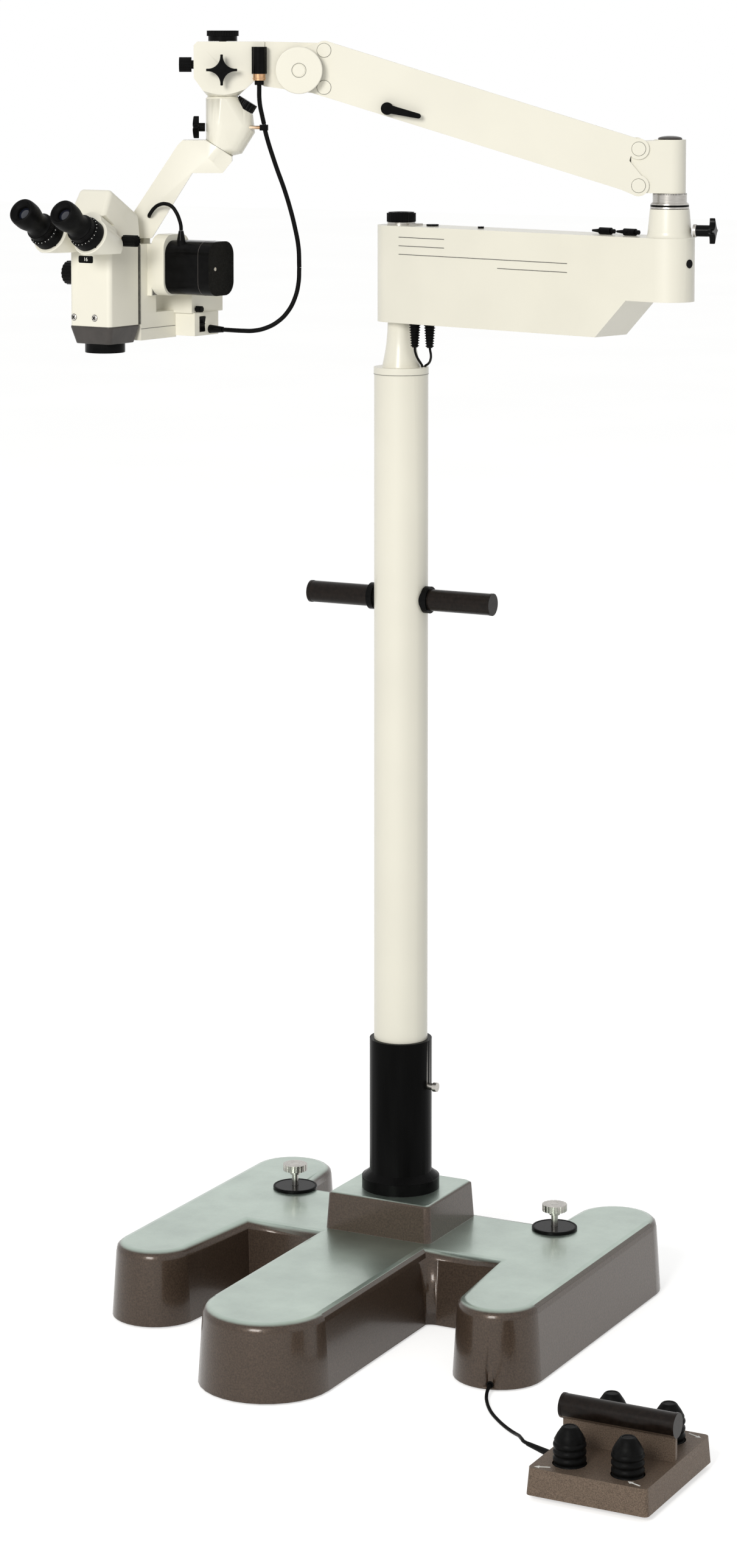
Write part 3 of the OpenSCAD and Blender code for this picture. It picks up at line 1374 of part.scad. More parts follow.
module focus_motor() {
  x = body_w / 2 + adaptor_l;
  y = body_d / 2 + motor_front + motor_d / 2;
  z = body_top + motor_top_rise - motor_h / 2;
  color(black) in_scope() {
    translate([x, y, z]) rotate([90, 0, 90]) linear_extrude(motor_l) rounded_plate([motor_d, motor_h], motor_r);
    translate([relief_x, body_d / 2 + relief_y, body_top + motor_top_rise]) {
      up(-motor_r / 2) cylinder(r = relief_r, h = motor_r / 2 + over);
      cylinder(r1 = relief_r, r2 = relief_tip_r, h = relief_h - over);
    }
    translate([x + motor_l - over, y - motor_d / 4, z]) to_x() cylinder(r = motor_led_r, h = motor_led_h + over);
  }
}
module motor_lead() { color(black) in_head() tube_along(motor_lead_points, lead_r, 10, 2); }
module illuminator() {
  half = body_w / 2;
  low = body_bottom - skirt_h + bar_low;
  box_z = low + bar_low;
  box_y = body_d / 2 + bar_l;
  house_z = box_z + lamp_box_h;
  color(cream) in_scope() {
    difference() {
      union() {
        translate([bar_left, body_d / 2 + skirt_lip, low]) cube([half - bar_left, bar_l, body_top - carriage_h - low]);
        translate([lamp_house_right - lamp_house_w, box_y, box_z]) cube([lamp_box_w, lamp_box_d, lamp_box_h]);
        translate([lamp_house_right - lamp_house_w, body_d / 2 + lamp_house_front, house_z]) cube([lamp_house_w, lamp_house_d, lamp_house_h]);
      }
      translate([lamp_box_right - rocker_depth, box_y + rocker_in - rocker_w / 2, box_z + (lamp_box_h - rocker_h) / 2])
        cube([rocker_depth + over, rocker_w, rocker_h]);
      translate([lamp_box_right - rocker_t + rocker_pin_in, box_y + rocker_in, box_z + lamp_box_h / 2])
        rotate([90, 0, 0]) cylinder(r = rocker_pin_r + run, h = rocker_pin_l + over, center = true);
      translate([lamp_house_right - knob_stem_l, body_d / 2 + lamp_house_front + lamp_knob_in, house_z + lamp_knob_r + over])
        to_x() cylinder(r = lamp_knob_pin_r + run, h = knob_stem_l + over);
    }
  }
  color(black) in_scope() translate([lamp_box_right, box_y + gland_in, box_z + gland_rise])
    to_x() cylinder(r1 = gland_r, r2 = gland_tip_r, h = gland_l);
}
module magnification_knob() {
  color(black) in_scope() translate([-body_w / 2, 0, body_top - mag_drop]) rotate([0, -90, 0]) {
    up(-body_wall) cylinder(r = star_pin_r, h = body_wall + over);
    up(gap) cylinder(r = mag_neck_r, h = mag_neck_l);
    up(mag_neck_l) fluted_knob(mag_knob_r, mag_knob_l, knob_flutes);
  }
}
module tube_lock_knob() {
  color(black) in_scope() translate([head_half_w, lock_y, body_top + lock_rise]) to_x() {
    up(-lock_pin_l) cylinder(r = lock_neck_r / 2, h = lock_pin_l + over);
    up(gap) cylinder(r = lock_neck_r, h = lock_neck_l);
    up(lock_neck_l) fluted_knob(lock_r, lock_l, lock_flutes);
  }
}
module rocker_switch() {
  box_z = body_bottom - skirt_h + 2 * bar_low;
  half = rocker_h / 2 - rocker_play;
  color(black) in_scope()
    translate([lamp_box_right - rocker_t, body_d / 2 + bar_l + rocker_in, box_z + lamp_box_h / 2])
    rotate([90, 0, 0]) {
      up(-rocker_w / 2 + gap) linear_extrude(rocker_w - 2 * gap) polygon([[0, -half],
        [rocker_t, -half], [rocker_t - rocker_play, 0], [rocker_t + rocker_play, half], [0, half]]);
      translate([rocker_pin_in, 0, 0]) cylinder(r = rocker_pin_r, h = rocker_pin_l, center = true);
    }
}
module lamp_knob() {
  house_z = body_bottom - skirt_h + 2 * bar_low + lamp_box_h;
  color(black) in_scope() translate([lamp_house_right, body_d / 2 + lamp_house_front + lamp_knob_in, house_z + lamp_knob_r + over])
    to_x() {
      up(-knob_stem_l + over) cylinder(r = lamp_knob_pin_r, h = knob_stem_l);
      up(gap) fluted_knob(lamp_knob_r, lamp_knob_l, 8);
    }
}
module prism(side) {
  color(cream) difference() {
    in_eye(side) {
      up(-prism_d) cylinder(r = prism_r, h = prism_d - over);
      up(-over) cylinder(r1 = prism_r, r2 = prism_r - over, h = over);
      translate([-side * prism_pivot_in, prism_pivot_up, -prism_d]) {
        up(-prism_pin_l) cylinder(r = prism_pin_r, h = prism_pin_l + over);
        cylinder(r = prism_top_r, h = prism_d - 2 * over);
      }
    }
    in_eye(side) up(-eye_pin_l - over) cylinder(r = eye_pin_r + run, h = eye_pin_l + 2 * over);
    in_scope() translate([-body_w, -2 * body_d, body_bottom]) cube([2 * body_w, 2 * body_d, body_h - prism_low]);
  }
}
module prism_left() { prism(-1); }
module prism_right() { prism(1); }
module eyepiece(side) {
  collar = eye_l * collar_share;
  barrel = eye_l * barrel_share;
  rib_h = (barrel - collar) / (2 * rib_count);
  color(black) in_eye(side) difference() {
    union() {
      up(-eye_pin_l) cylinder(r = eye_pin_r, h = eye_pin_l + over);
      rotate_extrude() polygon(concat([[0, gap], [eye_collar_r - over, gap], [eye_collar_r, 2 * over],
        [eye_collar_r, collar - over], [eye_collar_r - over, collar]],
        [for (i = [0 : 2 * rib_count - 1]) let (t = i / (2 * rib_count))
          [eye_barrel_r + (eye_neck_r - eye_barrel_r) * t + (i % 2) * over, collar + rib_h * i + over / 2]],
        [[eye_neck_r, barrel], [eye_cup_r - 2 * over, barrel + 6 * over], [eye_cup_r, barrel + 14 * over],
        [eye_cup_r, eye_l - 4 * over], [eye_cup_r - 2 * over, eye_l], [0, eye_l]]));
    }
    up(eye_l - cup_depth) cylinder(r1 = eye_bore_r, r2 = eye_cup_r - 5 * over, h = cup_depth + 0.01);
    up(-eye_pin_l - over) cylinder(r = eye_bore_r, h = eye_l - cup_depth);
  }
}
module eyepiece_left() { eyepiece(-1); }
module eyepiece_right() { eyepiece(1); }

base_casting();
floor_pads();
jack_bushes();
jack_screw_left();
jack_screw_right();
column_sleeve();
column_tube();
column_head();
grip_bar();
pedal_housing();
cord_glands();
pedal_cord();
pedal_button_front_left();
pedal_button_front_right();
pedal_button_back_left();
pedal_button_back_right();
box_housing();
swing_bushes();
transformer();
box_fittings();
swing_cables();
yoke_socket();
brake_knob();
socket_knob();
yoke_spindle();
yoke_post();
arm_cover();
pivot_pins();
balance_spring();
clamp_lever();
balance_dial();
tie_rod();
head_block();
light_connector();
light_cable_upper();
head_top_knob();
head_side_knob();
head_star_knob();
coupler_body();
light_cable_middle();
coupler_star();
tilt_knob();
bracket_arm();
light_cable_lower();
scope_body();
scope_skirt();
objective_lens();
tube_head();
focus_carriage();
focus_motor();
motor_lead();
illuminator();
magnification_knob();
tube_lock_knob();
rocker_switch();
lamp_knob();
prism_left();
prism_right();
eyepiece_left();
eyepiece_right();
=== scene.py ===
import math

import bmesh
import bpy
from bpy.props import FloatProperty, FloatVectorProperty, PointerProperty, StringProperty
from bpy.types import Operator, Panel, PropertyGroup
from mathutils import Matrix, Vector


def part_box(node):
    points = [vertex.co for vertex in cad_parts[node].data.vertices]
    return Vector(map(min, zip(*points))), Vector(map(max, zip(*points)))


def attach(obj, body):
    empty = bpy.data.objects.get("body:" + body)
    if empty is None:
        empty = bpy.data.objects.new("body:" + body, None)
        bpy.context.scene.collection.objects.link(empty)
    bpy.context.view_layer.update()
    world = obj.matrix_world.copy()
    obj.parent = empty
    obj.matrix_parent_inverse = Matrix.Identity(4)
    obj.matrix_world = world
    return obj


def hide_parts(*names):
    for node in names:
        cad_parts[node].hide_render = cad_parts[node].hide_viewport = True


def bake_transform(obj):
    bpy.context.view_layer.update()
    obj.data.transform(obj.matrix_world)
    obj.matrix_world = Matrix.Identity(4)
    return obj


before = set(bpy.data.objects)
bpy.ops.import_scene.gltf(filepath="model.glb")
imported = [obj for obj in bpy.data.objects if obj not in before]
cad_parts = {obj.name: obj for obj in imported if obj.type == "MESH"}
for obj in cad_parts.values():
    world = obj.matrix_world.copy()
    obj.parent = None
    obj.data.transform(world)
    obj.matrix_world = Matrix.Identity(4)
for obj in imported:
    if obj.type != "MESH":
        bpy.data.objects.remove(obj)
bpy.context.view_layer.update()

bl_info = {
    "name": "Surgical microscope on a floor stand",
    "version": (1, 0, 0),
    "blender": (4, 5, 0),
    "location": "View3D > Sidebar > Microscope",
    "description": "Gives the packed microscope, its stand and its foot switch finishes and fine parts",
    "category": "Object",
}

MM = 0.001


# Places, in millimetres and degrees
def shift(x, y, z):
    return Matrix.Translation((x * MM, y * MM, z * MM))


def turn(degrees, axis):
    return Matrix.Rotation(math.radians(degrees), 4, axis)


def heights(node):
    """Lowest and highest point of a CAD node, to a hundredth of a millimetre."""
    low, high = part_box(node)
    return round(low.z / MM, 2), round(high.z / MM, 2)


def middle(node):
    """Middle of a CAD node seen from above, to a hundredth of a millimetre."""
    low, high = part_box(node)
    return round((low.x + high.x) / 2 / MM, 2), round((low.y + high.y) / 2 / MM, 2)


PEDESTAL_TOP = heights("base_casting")[1]
COLUMN_TOP = heights("column_tube")[1]
BOX_BOTTOM, BOX_TOP = heights("box_housing")
POST_BASE, POST_TOP = heights("yoke_post")
HEAD_BOTTOM, HEAD_TOP = heights("head_block")
BODY_BOTTOM, BODY_TOP = heights("scope_body")
JACK_TOP = heights("jack_screw_left")[1]
JACK_DISC_TOP = heights("jack_bushes")[1]
GRIP_Z = 1057

SWING_ANGLE, SWING_REACH, BOX_W = -15.8, 503, 70
ARM_ANGLE, YOKE_PIVOT_X, YOKE_PIVOT_DROP, COVER_W = 207.3, 45, 12.1, 50
LINK, PIVOT_GAP, LIFT = 452.0, 50.6, 17.34
HEAD_REACH, TILT_ANGLE, TILT_DROP, RAIL_REACH = 139.5, 32, 63, 122
SCOPE_ANGLE, GUIDE_Y, BODY_W, BODY_D = -6.7, 68, 70, 68
EYE_GAP, EYE_OUT, EYE_RISE, EYE_TILT = 69, 41.5, 15.5, 30
PEDAL_TOP, BUTTON_X, BUTTON_Y, ARROW_X, ARROW_Y = 44, 41, 68, 64, 96

WORLD = Matrix.Identity(4)
SWING = turn(SWING_ANGLE, "Z")
YOKE = SWING @ shift(SWING_REACH, 0, 0)
ARM = YOKE @ turn(ARM_ANGLE - SWING_ANGLE, "Z")
LIFTED = ARM @ shift(YOKE_PIVOT_X, 0, POST_TOP - YOKE_PIVOT_DROP) @ turn(-LIFT, "Y")
HEAD = ARM @ shift(YOKE_PIVOT_X + LINK * math.cos(math.radians(LIFT)) + HEAD_REACH, 0, 0)
TILT_Z = HEAD_BOTTOM - TILT_DROP
TILT = HEAD @ shift(0, 0, TILT_Z) @ turn(-TILT_ANGLE, "Y")
SCOPE = HEAD @ shift(RAIL_REACH, 0, 0) @ turn(SCOPE_ANGLE - ARM_ANGLE, "Z") @ shift(0, -GUIDE_Y, 0)
EYE_Y = -(BODY_D / 2 + EYE_OUT)
PEDAL = shift(*middle("pedal_housing"), 0)
TO_X, TO_Y = turn(90, "Y"), turn(-90, "X")


def eye_place(side):
    return SCOPE @ shift(side * EYE_GAP / 2, EYE_Y, BODY_TOP + EYE_RISE) @ turn(90 - EYE_TILT, "X")


# Materials
class Finish:
    """A procedural material under construction, with its principled shader."""

    def __init__(self, name, color, roughness=0.5, metallic=0.0):
        self.material = bpy.data.materials.new(name)
        self.material.use_nodes = True
        self.tree = self.material.node_tree
        self.shader = self.tree.nodes["Principled BSDF"]
        self.shader.inputs["Base Color"].default_value = (*color[:3], 1)
        self.shader.inputs["Roughness"].default_value = roughness
        self.shader.inputs["Metallic"].default_value = metallic
        self.material.diffuse_color = (*color[:3], 1)
        self.coords = self.node("ShaderNodeTexCoord").outputs["Object"]

    def node(self, kind, **values):
        made = self.tree.nodes.new(kind)
        for key, value in values.items():
            setattr(made, key, value)
        return made

    def link(self, source, target):
        self.tree.links.new(source, target)

    def mapped(self, scale):
        mapping = self.node("ShaderNodeMapping")
        mapping.inputs["Scale"].default_value = scale
        self.link(self.coords, mapping.inputs["Vector"])
        return mapping.outputs["Vector"]

    def noise(self, scale, detail=3.0, rough=0.55, stretch=(1, 1, 1)):
        made = self.node("ShaderNodeTexNoise")
        made.inputs["Scale"].default_value = scale
        made.inputs["Detail"].default_value = detail
        made.inputs["Roughness"].default_value = rough
        self.link(self.mapped(stretch), made.inputs["Vector"])
        return made.outputs["Fac"]

    def cells(self, scale):
        made = self.node("ShaderNodeTexVoronoi")
        made.inputs["Scale"].default_value = scale
        self.link(self.coords, made.inputs["Vector"])
        return made.outputs["Distance"]

    def ramp(self, value, low, high, at=(0.35, 0.65)):
        made = self.node("ShaderNodeValToRGB")
        for element, place, color in zip(made.color_ramp.elements, at, (low, high)):
            element.position = place
            element.color = (*color, 1)
        self.link(value, made.inputs["Fac"])
        return made.outputs["Color"]

    def spread(self, value, low, high):
        made = self.node("ShaderNodeMapRange")
        made.inputs["To Min"].default_value = low
        made.inputs["To Max"].default_value = high
        self.link(value, made.inputs["Value"])
        return made.outputs["Result"]

    def tint(self, value, low, high, at=(0.35, 0.65)):
        self.link(self.ramp(value, low, high, at), self.shader.inputs["Base Color"])
        return self

    def rough(self, value, low, high):
        self.link(self.spread(value, low, high), self.shader.inputs["Roughness"])
        return self

    def bump(self, value, strength, distance):
        made = self.node("ShaderNodeBump")
        made.inputs["Strength"].default_value = strength
        made.inputs["Distance"].default_value = distance
        self.link(value, made.inputs["Height"])
        self.link(made.outputs["Normal"], self.shader.inputs["Normal"])
        return self

    def facing_up(self):
        """None on walls, running to one on faces that look up."""
        parts = self.node("ShaderNodeSeparateXYZ")
        self.link(self.node("ShaderNodeNewGeometry").outputs["Normal"], parts.inputs[0])
        ease = self.node("ShaderNodeMapRange", interpolation_type="SMOOTHSTEP")
        ease.inputs["From Min"].default_value = 0.72
        ease.inputs["From Max"].default_value = 0.99
        self.link(parts.outputs["Z"], ease.inputs["Value"])
        return ease.outputs["Result"]

    def mix(self, share, steep, level):
        mix = self.node("ShaderNodeMix", data_type="RGBA")
        self.link(share, mix.inputs[0])
        self.link(steep, mix.inputs[6])
        self.link(level, mix.inputs[7])
        return mix.outputs[2]

    def coat(self, weight, roughness):
        self.shader.inputs["Coat Weight"].default_value = weight
        self.shader.inputs["Coat Roughness"].default_value = roughness
        return self

    def specular(self, level):
        self.shader.inputs["Specular IOR Level"].default_value = level
        return self


def shade(color, amount):
    return tuple(max(0.0, min(1.0, c * amount)) for c in color[:3])


def cream_enamel(color):
    f = Finish("cream_enamel", color, 0.34)
    f.tint(f.noise(7, 2), shade(color, 0.975), shade(color, 1.015))
    f.rough(f.noise(60, 3), 0.30, 0.42).bump(f.noise(900, 2), 0.06, 0.0002).coat(0.25, 0.12)
    return f.material


def hammered_casting_paint(color):
    """Brown metallic paint, with a painted reflection of the bright ceiling in pale grey-green on the faces
    that look up.
    """
    f = Finish("hammered_casting_paint", color, 0.4, 0.25)
    brown = f.ramp(f.noise(420, 3, 0.6), shade(color, 0.72), shade(color, 1.35), (0.32, 0.68))
    # painted reflection: pale grey-green colour stands for the ceiling's light seen in the faces that look
    # up
    painted_ceiling_reflection = f.ramp(f.noise(9, 4, 0.6), (0.34, 0.41, 0.36), (0.46, 0.55, 0.48), (0.3, 0.7))
    level = f.facing_up()
    f.link(f.mix(level, brown, painted_ceiling_reflection), f.shader.inputs["Base Color"])
    f.link(f.spread(level, 0.3, 0.94), f.shader.inputs["Metallic"])
    f.rough(f.noise(260, 3), 0.28, 0.42).bump(f.cells(380), 0.16, 0.0006).coat(0.5, 0.14).specular(0.18)
    return f.material


def foot_switch_paint(color):
    f = Finish("foot_switch_paint", color, 0.5, 0.45)
    f.tint(f.noise(620, 3, 0.65), shade(color, 0.6), shade(color, 1.35), (0.33, 0.67))
    f.rough(f.noise(300, 3), 0.40, 0.6).bump(f.cells(700), 0.3, 0.0005).specular(0.25)
    return f.material


def black_moulded_plastic(color):
    f = Finish("black_moulded_plastic", color, 0.3)
    f.tint(f.noise(90, 3), shade(color, 0.8), shade(color, 1.3))
    f.rough(f.noise(200, 3), 0.14, 0.26).bump(f.noise(1500, 2), 0.05, 0.0002).specular(0.05)
    return f.material


def black_rubber(color):
    f = Finish("black_rubber", shade(color, 0.9), 0.7)
    f.tint(f.noise(120, 4), shade(color, 0.7), shade(color, 1.4))
    f.rough(f.noise(160, 3), 0.34, 0.55).bump(f.noise(1100, 3), 0.1, 0.0003).specular(0.05)
    return f.material


def satin_black_sleeve(color):
    f = Finish("satin_black_sleeve", shade(color, 0.9), 0.3)
    f.tint(f.noise(40, 3, 0.5, (1, 1, 0.2)), shade(color, 0.7), shade(color, 1.2))
    f.rough(f.noise(150, 2, 0.5, (1, 1, 0.1)), 0.2, 0.34).bump(f.noise(700, 2), 0.05, 0.0002)
    f.specular(0.03)
    return f.material


def grey_brown_skirt_paint(color):
    f = Finish("grey_brown_skirt_paint", color, 0.36, 0.15)
    f.tint(f.noise(60, 3), shade(color, 0.85), shade(color, 1.15))
    f.rough(f.noise(150, 3), 0.3, 0.45).bump(f.noise(1000, 2), 0.08, 0.0002)
    return f.material


def dark_grip_moulding(color):
    f = Finish("dark_grip_moulding", color, 0.45)
    f.tint(f.noise(150, 4, 0.6), shade(color, 0.7), shade(color, 1.35))
    f.rough(f.noise(180, 3), 0.22, 0.38).bump(f.cells(900), 0.08, 0.0003).specular(0.14)
    return f.material


def turned_steel(color):
    f = Finish("turned_steel", color, 0.25, 1.0)
    f.tint(f.noise(70, 3, 0.5, (1, 1, 12)), shade(color, 0.88), shade(color, 1.08))
    f.rough(f.noise(140, 2, 0.5, (1, 1, 6)), 0.2, 0.32).bump(f.noise(500, 2, 0.5, (1, 1, 8)), 0.02, 0.0001)
    return f.material


def bare_copper_alloy(color):
    f = Finish("bare_copper_alloy", color, 0.3, 1.0)
    f.tint(f.noise(110, 3), shade(color, 0.75), shade(color, 1.1))
    f.rough(f.noise(300, 3), 0.22, 0.4).bump(f.noise(900, 2), 0.06, 0.0001)
    return f.material


def coated_glass():
    f = Finish("coated_glass", (0.012, 0.014, 0.022), 0.05)
    f.tint(f.noise(12, 1), (0.008, 0.011, 0.02), (0.018, 0.015, 0.026)).coat(0.3, 0.02)
    return f.material


def grey_seam_line():
    f = Finish("grey_seam_line", (0.23, 0.23, 0.2), 0.6)
    f.tint(f.noise(160, 3), (0.19, 0.19, 0.165), (0.27, 0.27, 0.235))
    return f.material


def dark_pinstripe():
    f = Finish("dark_pinstripe", (0.12, 0.12, 0.1), 0.5)
    f.tint(f.noise(200, 3), (0.09, 0.09, 0.08), (0.16, 0.155, 0.135))
    return f.material


def white_ink():
    f = Finish("white_ink", (0.8, 0.8, 0.76), 0.5)
    f.tint(f.noise(250, 3), (0.7, 0.7, 0.66), (0.84, 0.84, 0.8))
    return f.material


def make_finishes(colors):
    """Every finish of the microscope, from the panel's colours."""
    plastic = tuple(colors.plastic)
    return {
        "cream": cream_enamel(tuple(colors.enamel)),
        "casting": hammered_casting_paint(tuple(colors.casting)),
        "switch": foot_switch_paint(tuple(colors.switch_paint)),
        "black": black_moulded_plastic(plastic),
        "rubber": black_rubber(plastic),
        "sleeve": satin_black_sleeve(plastic),
        "skirt": grey_brown_skirt_paint(tuple(colors.skirt)),
        "grip": dark_grip_moulding(tuple(colors.grip)),
        "steel": turned_steel(tuple(colors.steel)),
        "brass": bare_copper_alloy(tuple(colors.brass)),
        "glass": coated_glass(),
        "seam": grey_seam_line(),
        "stripe": dark_pinstripe(),
        "ink": white_ink(),
    }


FINISH = {}


def finish(name):
    if not FINISH:
        FINISH.update(make_finishes(bpy.context.scene.microscope_colors))
    return FINISH[name]


# Shapes
def smooth_by(mesh, degrees):
    mesh.polygons.foreach_set("use_smooth", [True] * len(mesh.polygons))
    mesh.set_sharp_from_angle(angle=math.radians(degrees))


def soften(obj, width):
    """A live bevel of the given width on every edge sharper than 32 degrees."""
    bevel = obj.modifiers.new("soft_edges", "BEVEL")
    bevel.width = width * MM
    bevel.segments = 3
    bevel.limit_method = "ANGLE"
    bevel.angle_limit = math.radians(32)
    bevel.harden_normals = True
    bevel.miter_outer = "MITER_ARC"


def placed(name, data):
    """A new object with the given mesh or curve, in the scene."""
    obj = bpy.data.objects.new(name, data)
    bpy.context.scene.collection.objects.link(obj)
    return obj


def piece(name, bm, surface, body, place=WORLD, node=None, edge=0.0, degrees=35, clean=True):
    """Makes a finished piece from a bmesh, sets it in place, and lets it ride on its body."""
    if clean:
        bmesh.ops.remove_doubles(bm, verts=bm.verts, dist=1e-7)
    bmesh.ops.transform(bm, matrix=place, verts=bm.verts)
    if clean:
        bmesh.ops.recalc_face_normals(bm, faces=bm.faces)
    mesh = bpy.data.meshes.new(name)
    bm.to_mesh(mesh)
    bm.free()
    names = [surface] if isinstance(surface, str) else surface
    for s in names:
        mesh.materials.append(finish(s))
    smooth_by(mesh, degrees)
    obj = placed(name, mesh)
    if edge:
        soften(obj, edge)
    if node:
        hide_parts(node)
    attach(obj, body)


def inside(place, low, high):
    """A test for faces whose middle lies in a box of a turned frame."""
    back = place.inverted()

    def test(point):
        p = back @ point
        return all(low[i] * MM <= p[i] <= high[i] * MM for i in range(3))
    return test


def dressed(node, surface, body, edge=0.6, degrees=32, parts=(), flat=1.0, rim=0.0):
    """A merged copy of a CAD node. parts holds a finish and a test for each other material."""
    bm = bmesh.new()
    bm.from_mesh(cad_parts[node].data)
    bmesh.ops.transform(bm, matrix=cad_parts[node].matrix_world, verts=bm.verts)
    bmesh.ops.remove_doubles(bm, verts=bm.verts, dist=2e-6)
    bmesh.ops.dissolve_limit(bm, angle_limit=math.radians(flat), verts=bm.verts, edges=bm.edges)
    if rim:
        wide = [f for f in bm.faces if f.calc_area() > 0.002]
        bmesh.ops.inset_individual(bm, faces=wide, thickness=rim * MM, use_even_offset=True)
    for f in bm.faces:
        centre = f.calc_center_median()
        f.material_index = next((i + 1 for i, p in enumerate(parts) if p[1](centre)), 0)
    piece(node + "_finished", bm, [surface] + [p[0] for p in parts], body, node=node, edge=edge,
          degrees=degrees, clean=False)


def lathe(points, steps=64):
    """A turned shape from (radius, height) points in millimetres, about Z."""
    bm = bmesh.new()
    verts = [bm.verts.new((r * MM, 0, z * MM)) for r, z in points]
    edges = [bm.edges.new((a, b)) for a, b in zip(verts, verts[1:])]
    bmesh.ops.spin(bm, geom=verts + edges, cent=(0, 0, 0), axis=(0, 0, 1), angle=math.tau, steps=steps,
                   use_merge=True)
    bmesh.ops.remove_doubles(bm, verts=bm.verts, dist=1e-7)
    return bm


def ring(inner, outer, low, high, ease=0.3):
    """A closed turned ring with eased corners."""
    e = min(ease, (high - low) / 3, (outer - inner) / 3)
    return lathe([(inner, low), (outer - e, low), (outer, low + e), (outer, high - e), (outer - e, high),
                  (inner + e, high), (inner, high - e), (inner, low)])


def button(radius, low, high, ease=0.4):
    """A turned disc with an eased rim."""
    return lathe([(0, low), (radius - ease, low), (radius, low + ease), (radius, high - ease),
                  (radius - ease, high), (radius * 0.55, high), (0, high)], 48)


def block(size, corner=0.0, axis=2, segments=5):
    """A box about the origin, with the edges along one axis rounded."""
    bm = bmesh.new()
    bmesh.ops.create_cube(bm, size=1.0)
    bmesh.ops.scale(bm, vec=Vector(size) * MM, verts=bm.verts)
    if corner:
        along = [e for e in bm.edges if abs((e.verts[0].co - e.verts[1].co)[axis]) > 1e-9]
        round_off(bm, along, corner, segments)
    return bm


def round_off(bm, edges, width, segments):
    bmesh.ops.bevel(bm, geom=edges, offset=width * MM, offset_type="OFFSET", segments=segments,
                    profile=0.5, affect="EDGES", material=-1, clamp_overlap=True)


def joined(*parts):
    """One bmesh from several, each with the place it is set to."""
    whole = bmesh.new()
    for part, place in parts:
        bmesh.ops.transform(part, matrix=place, verts=part.verts)
        mesh = bpy.data.meshes.new("part")
        part.to_mesh(mesh)
        part.free()
        whole.from_mesh(mesh)
        bpy.data.meshes.remove(mesh)
    return whole


def new_verts(result):
    return [g for g in result["geom"] if isinstance(g, bmesh.types.BMVert)]


def knurl(radius, low, high, teeth, depth, inner):
    """A ring with straight teeth, from a circle whose every other pair of points is pulled in."""
    bm = bmesh.new()
    low_verts = bmesh.ops.create_circle(bm, segments=teeth * 4, radius=radius * MM, cap_ends=False)["verts"]
    for i, v in enumerate(low_verts):
        v.co.z = low * MM
        if i % 4 >= 2:
            v.co.xy *= (radius - depth) / radius
    up_verts = new_verts(bmesh.ops.extrude_edge_only(bm, edges=list(bm.edges)))
    bmesh.ops.translate(bm, vec=(0, 0, (high - low) * MM), verts=up_verts)
    scale = inner / radius
    for sign, verts in ((-1, low_verts), (1, up_verts)):
        edges = [e for e in bm.edges if e.is_boundary and e.verts[0] in verts and e.verts[1] in verts]
        inner_verts = new_verts(bmesh.ops.extrude_edge_only(bm, edges=edges))
        bmesh.ops.scale(bm, vec=(scale, scale, 1), verts=inner_verts)
        bmesh.ops.translate(bm, vec=(0, 0, sign * depth * 0.4 * MM), verts=inner_verts)
    return bm


def stripe(x0, x1, z, y, height, depth=0.3):
    """A thin raised line on a face that looks along -Y."""
    bm = block((x1 - x0, depth, height))
    bmesh.ops.translate(bm, vec=((x0 + x1) / 2 * MM, (y - depth / 2 + 0.05) * MM, z * MM), verts=bm.verts)
    return bm


def screw_head(radius, height):
    """A domed screw head, on which crossed slots are laid."""
    return lathe([(0, -0.4), (radius, -0.4), (radius, height * 0.45), (radius * 0.8, height * 0.85),
                  (radius * 0.45, height), (0, height)], 32)


def tube_path(points, place):
    return [place @ Vector((x * MM, y * MM, z * MM)) for x, y, z in points]


def cord_curve(name, points, radius, surface):
    """A cord as a curve of one open spline through the route's points."""
    curve = bpy.data.curves.new(name, "CURVE")
    curve.dimensions = "3D"
    curve.bevel_depth = radius * MM
    curve.bevel_resolution = 5
    curve.use_fill_caps = True
    curve.resolution_u = 6
    spline = curve.splines.new("BEZIER")
    spline.bezier_points.add(len(points) - 1)
    for knot, p in zip(spline.bezier_points, points):
        knot.co = p
        knot.handle_left_type = knot.handle_right_type = "AUTO"
    curve.materials.append(finish(surface))
    return placed(name, curve)


def path_length(points):
    """Length along a smooth line through the points."""
    total, last = 0.0, None
    count, steps = len(points), 8
    for i in range(count - 1):
        a, b, c, d = (points[max(i - 1, 0)], points[i], points[i + 1], points[min(i + 2, count - 1)])
        for k in range(steps):
            t = k / steps
            p = 0.5 * (2 * b + (c - a) * t + (2 * a - 5 * b + 4 * c - d) * t * t
                       + (3 * b - a - 3 * c + d) * t ** 3)
            if last is not None:
                total += (p - last).length
            last = p
    return total + (points[-1] - last).length


def star_knob(node, body, place, radius, height, standoff, shaft):
    """A four-pointed knob with rounded points and a domed face, on its shaft."""
    bite, centre, dome, foot = radius * 0.8, radius * 1.25, 1.6, 0.6
    outline = []
    for k in range(4):
        for i in range(-12, 13):
            a = math.radians(i * 4.4)
            p = Vector((centre - bite * math.cos(a), bite * math.sin(a)))
            outline.append((min(p.length, radius), math.atan2(p.y, p.x) + math.radians(45 + 90 * k)))
    star = bmesh.new()
    verts = [star.verts.new((r * math.cos(a) * MM, r * math.sin(a) * MM, standoff * MM)) for r, a in outline]
    tops = new_verts(bmesh.ops.extrude_face_region(star, geom=[star.faces.new(verts)]))
    bmesh.ops.translate(star, vec=(0, 0, height * MM), verts=tops)
    for v in tops:
        v.co.z -= dome * MM * (v.co.xy.length / (radius * MM)) ** 2
    bmesh.ops.recalc_face_normals(star, faces=star.faces)
    end = standoff + height * 0.4
    pin = lathe([(0, foot), (shaft, foot), (shaft, end), (0, end)], 40)
    piece(node + "_star", joined((star, WORLD), (pin, WORLD)), "black", body, place, node=node, edge=1.1,
          degrees=40)


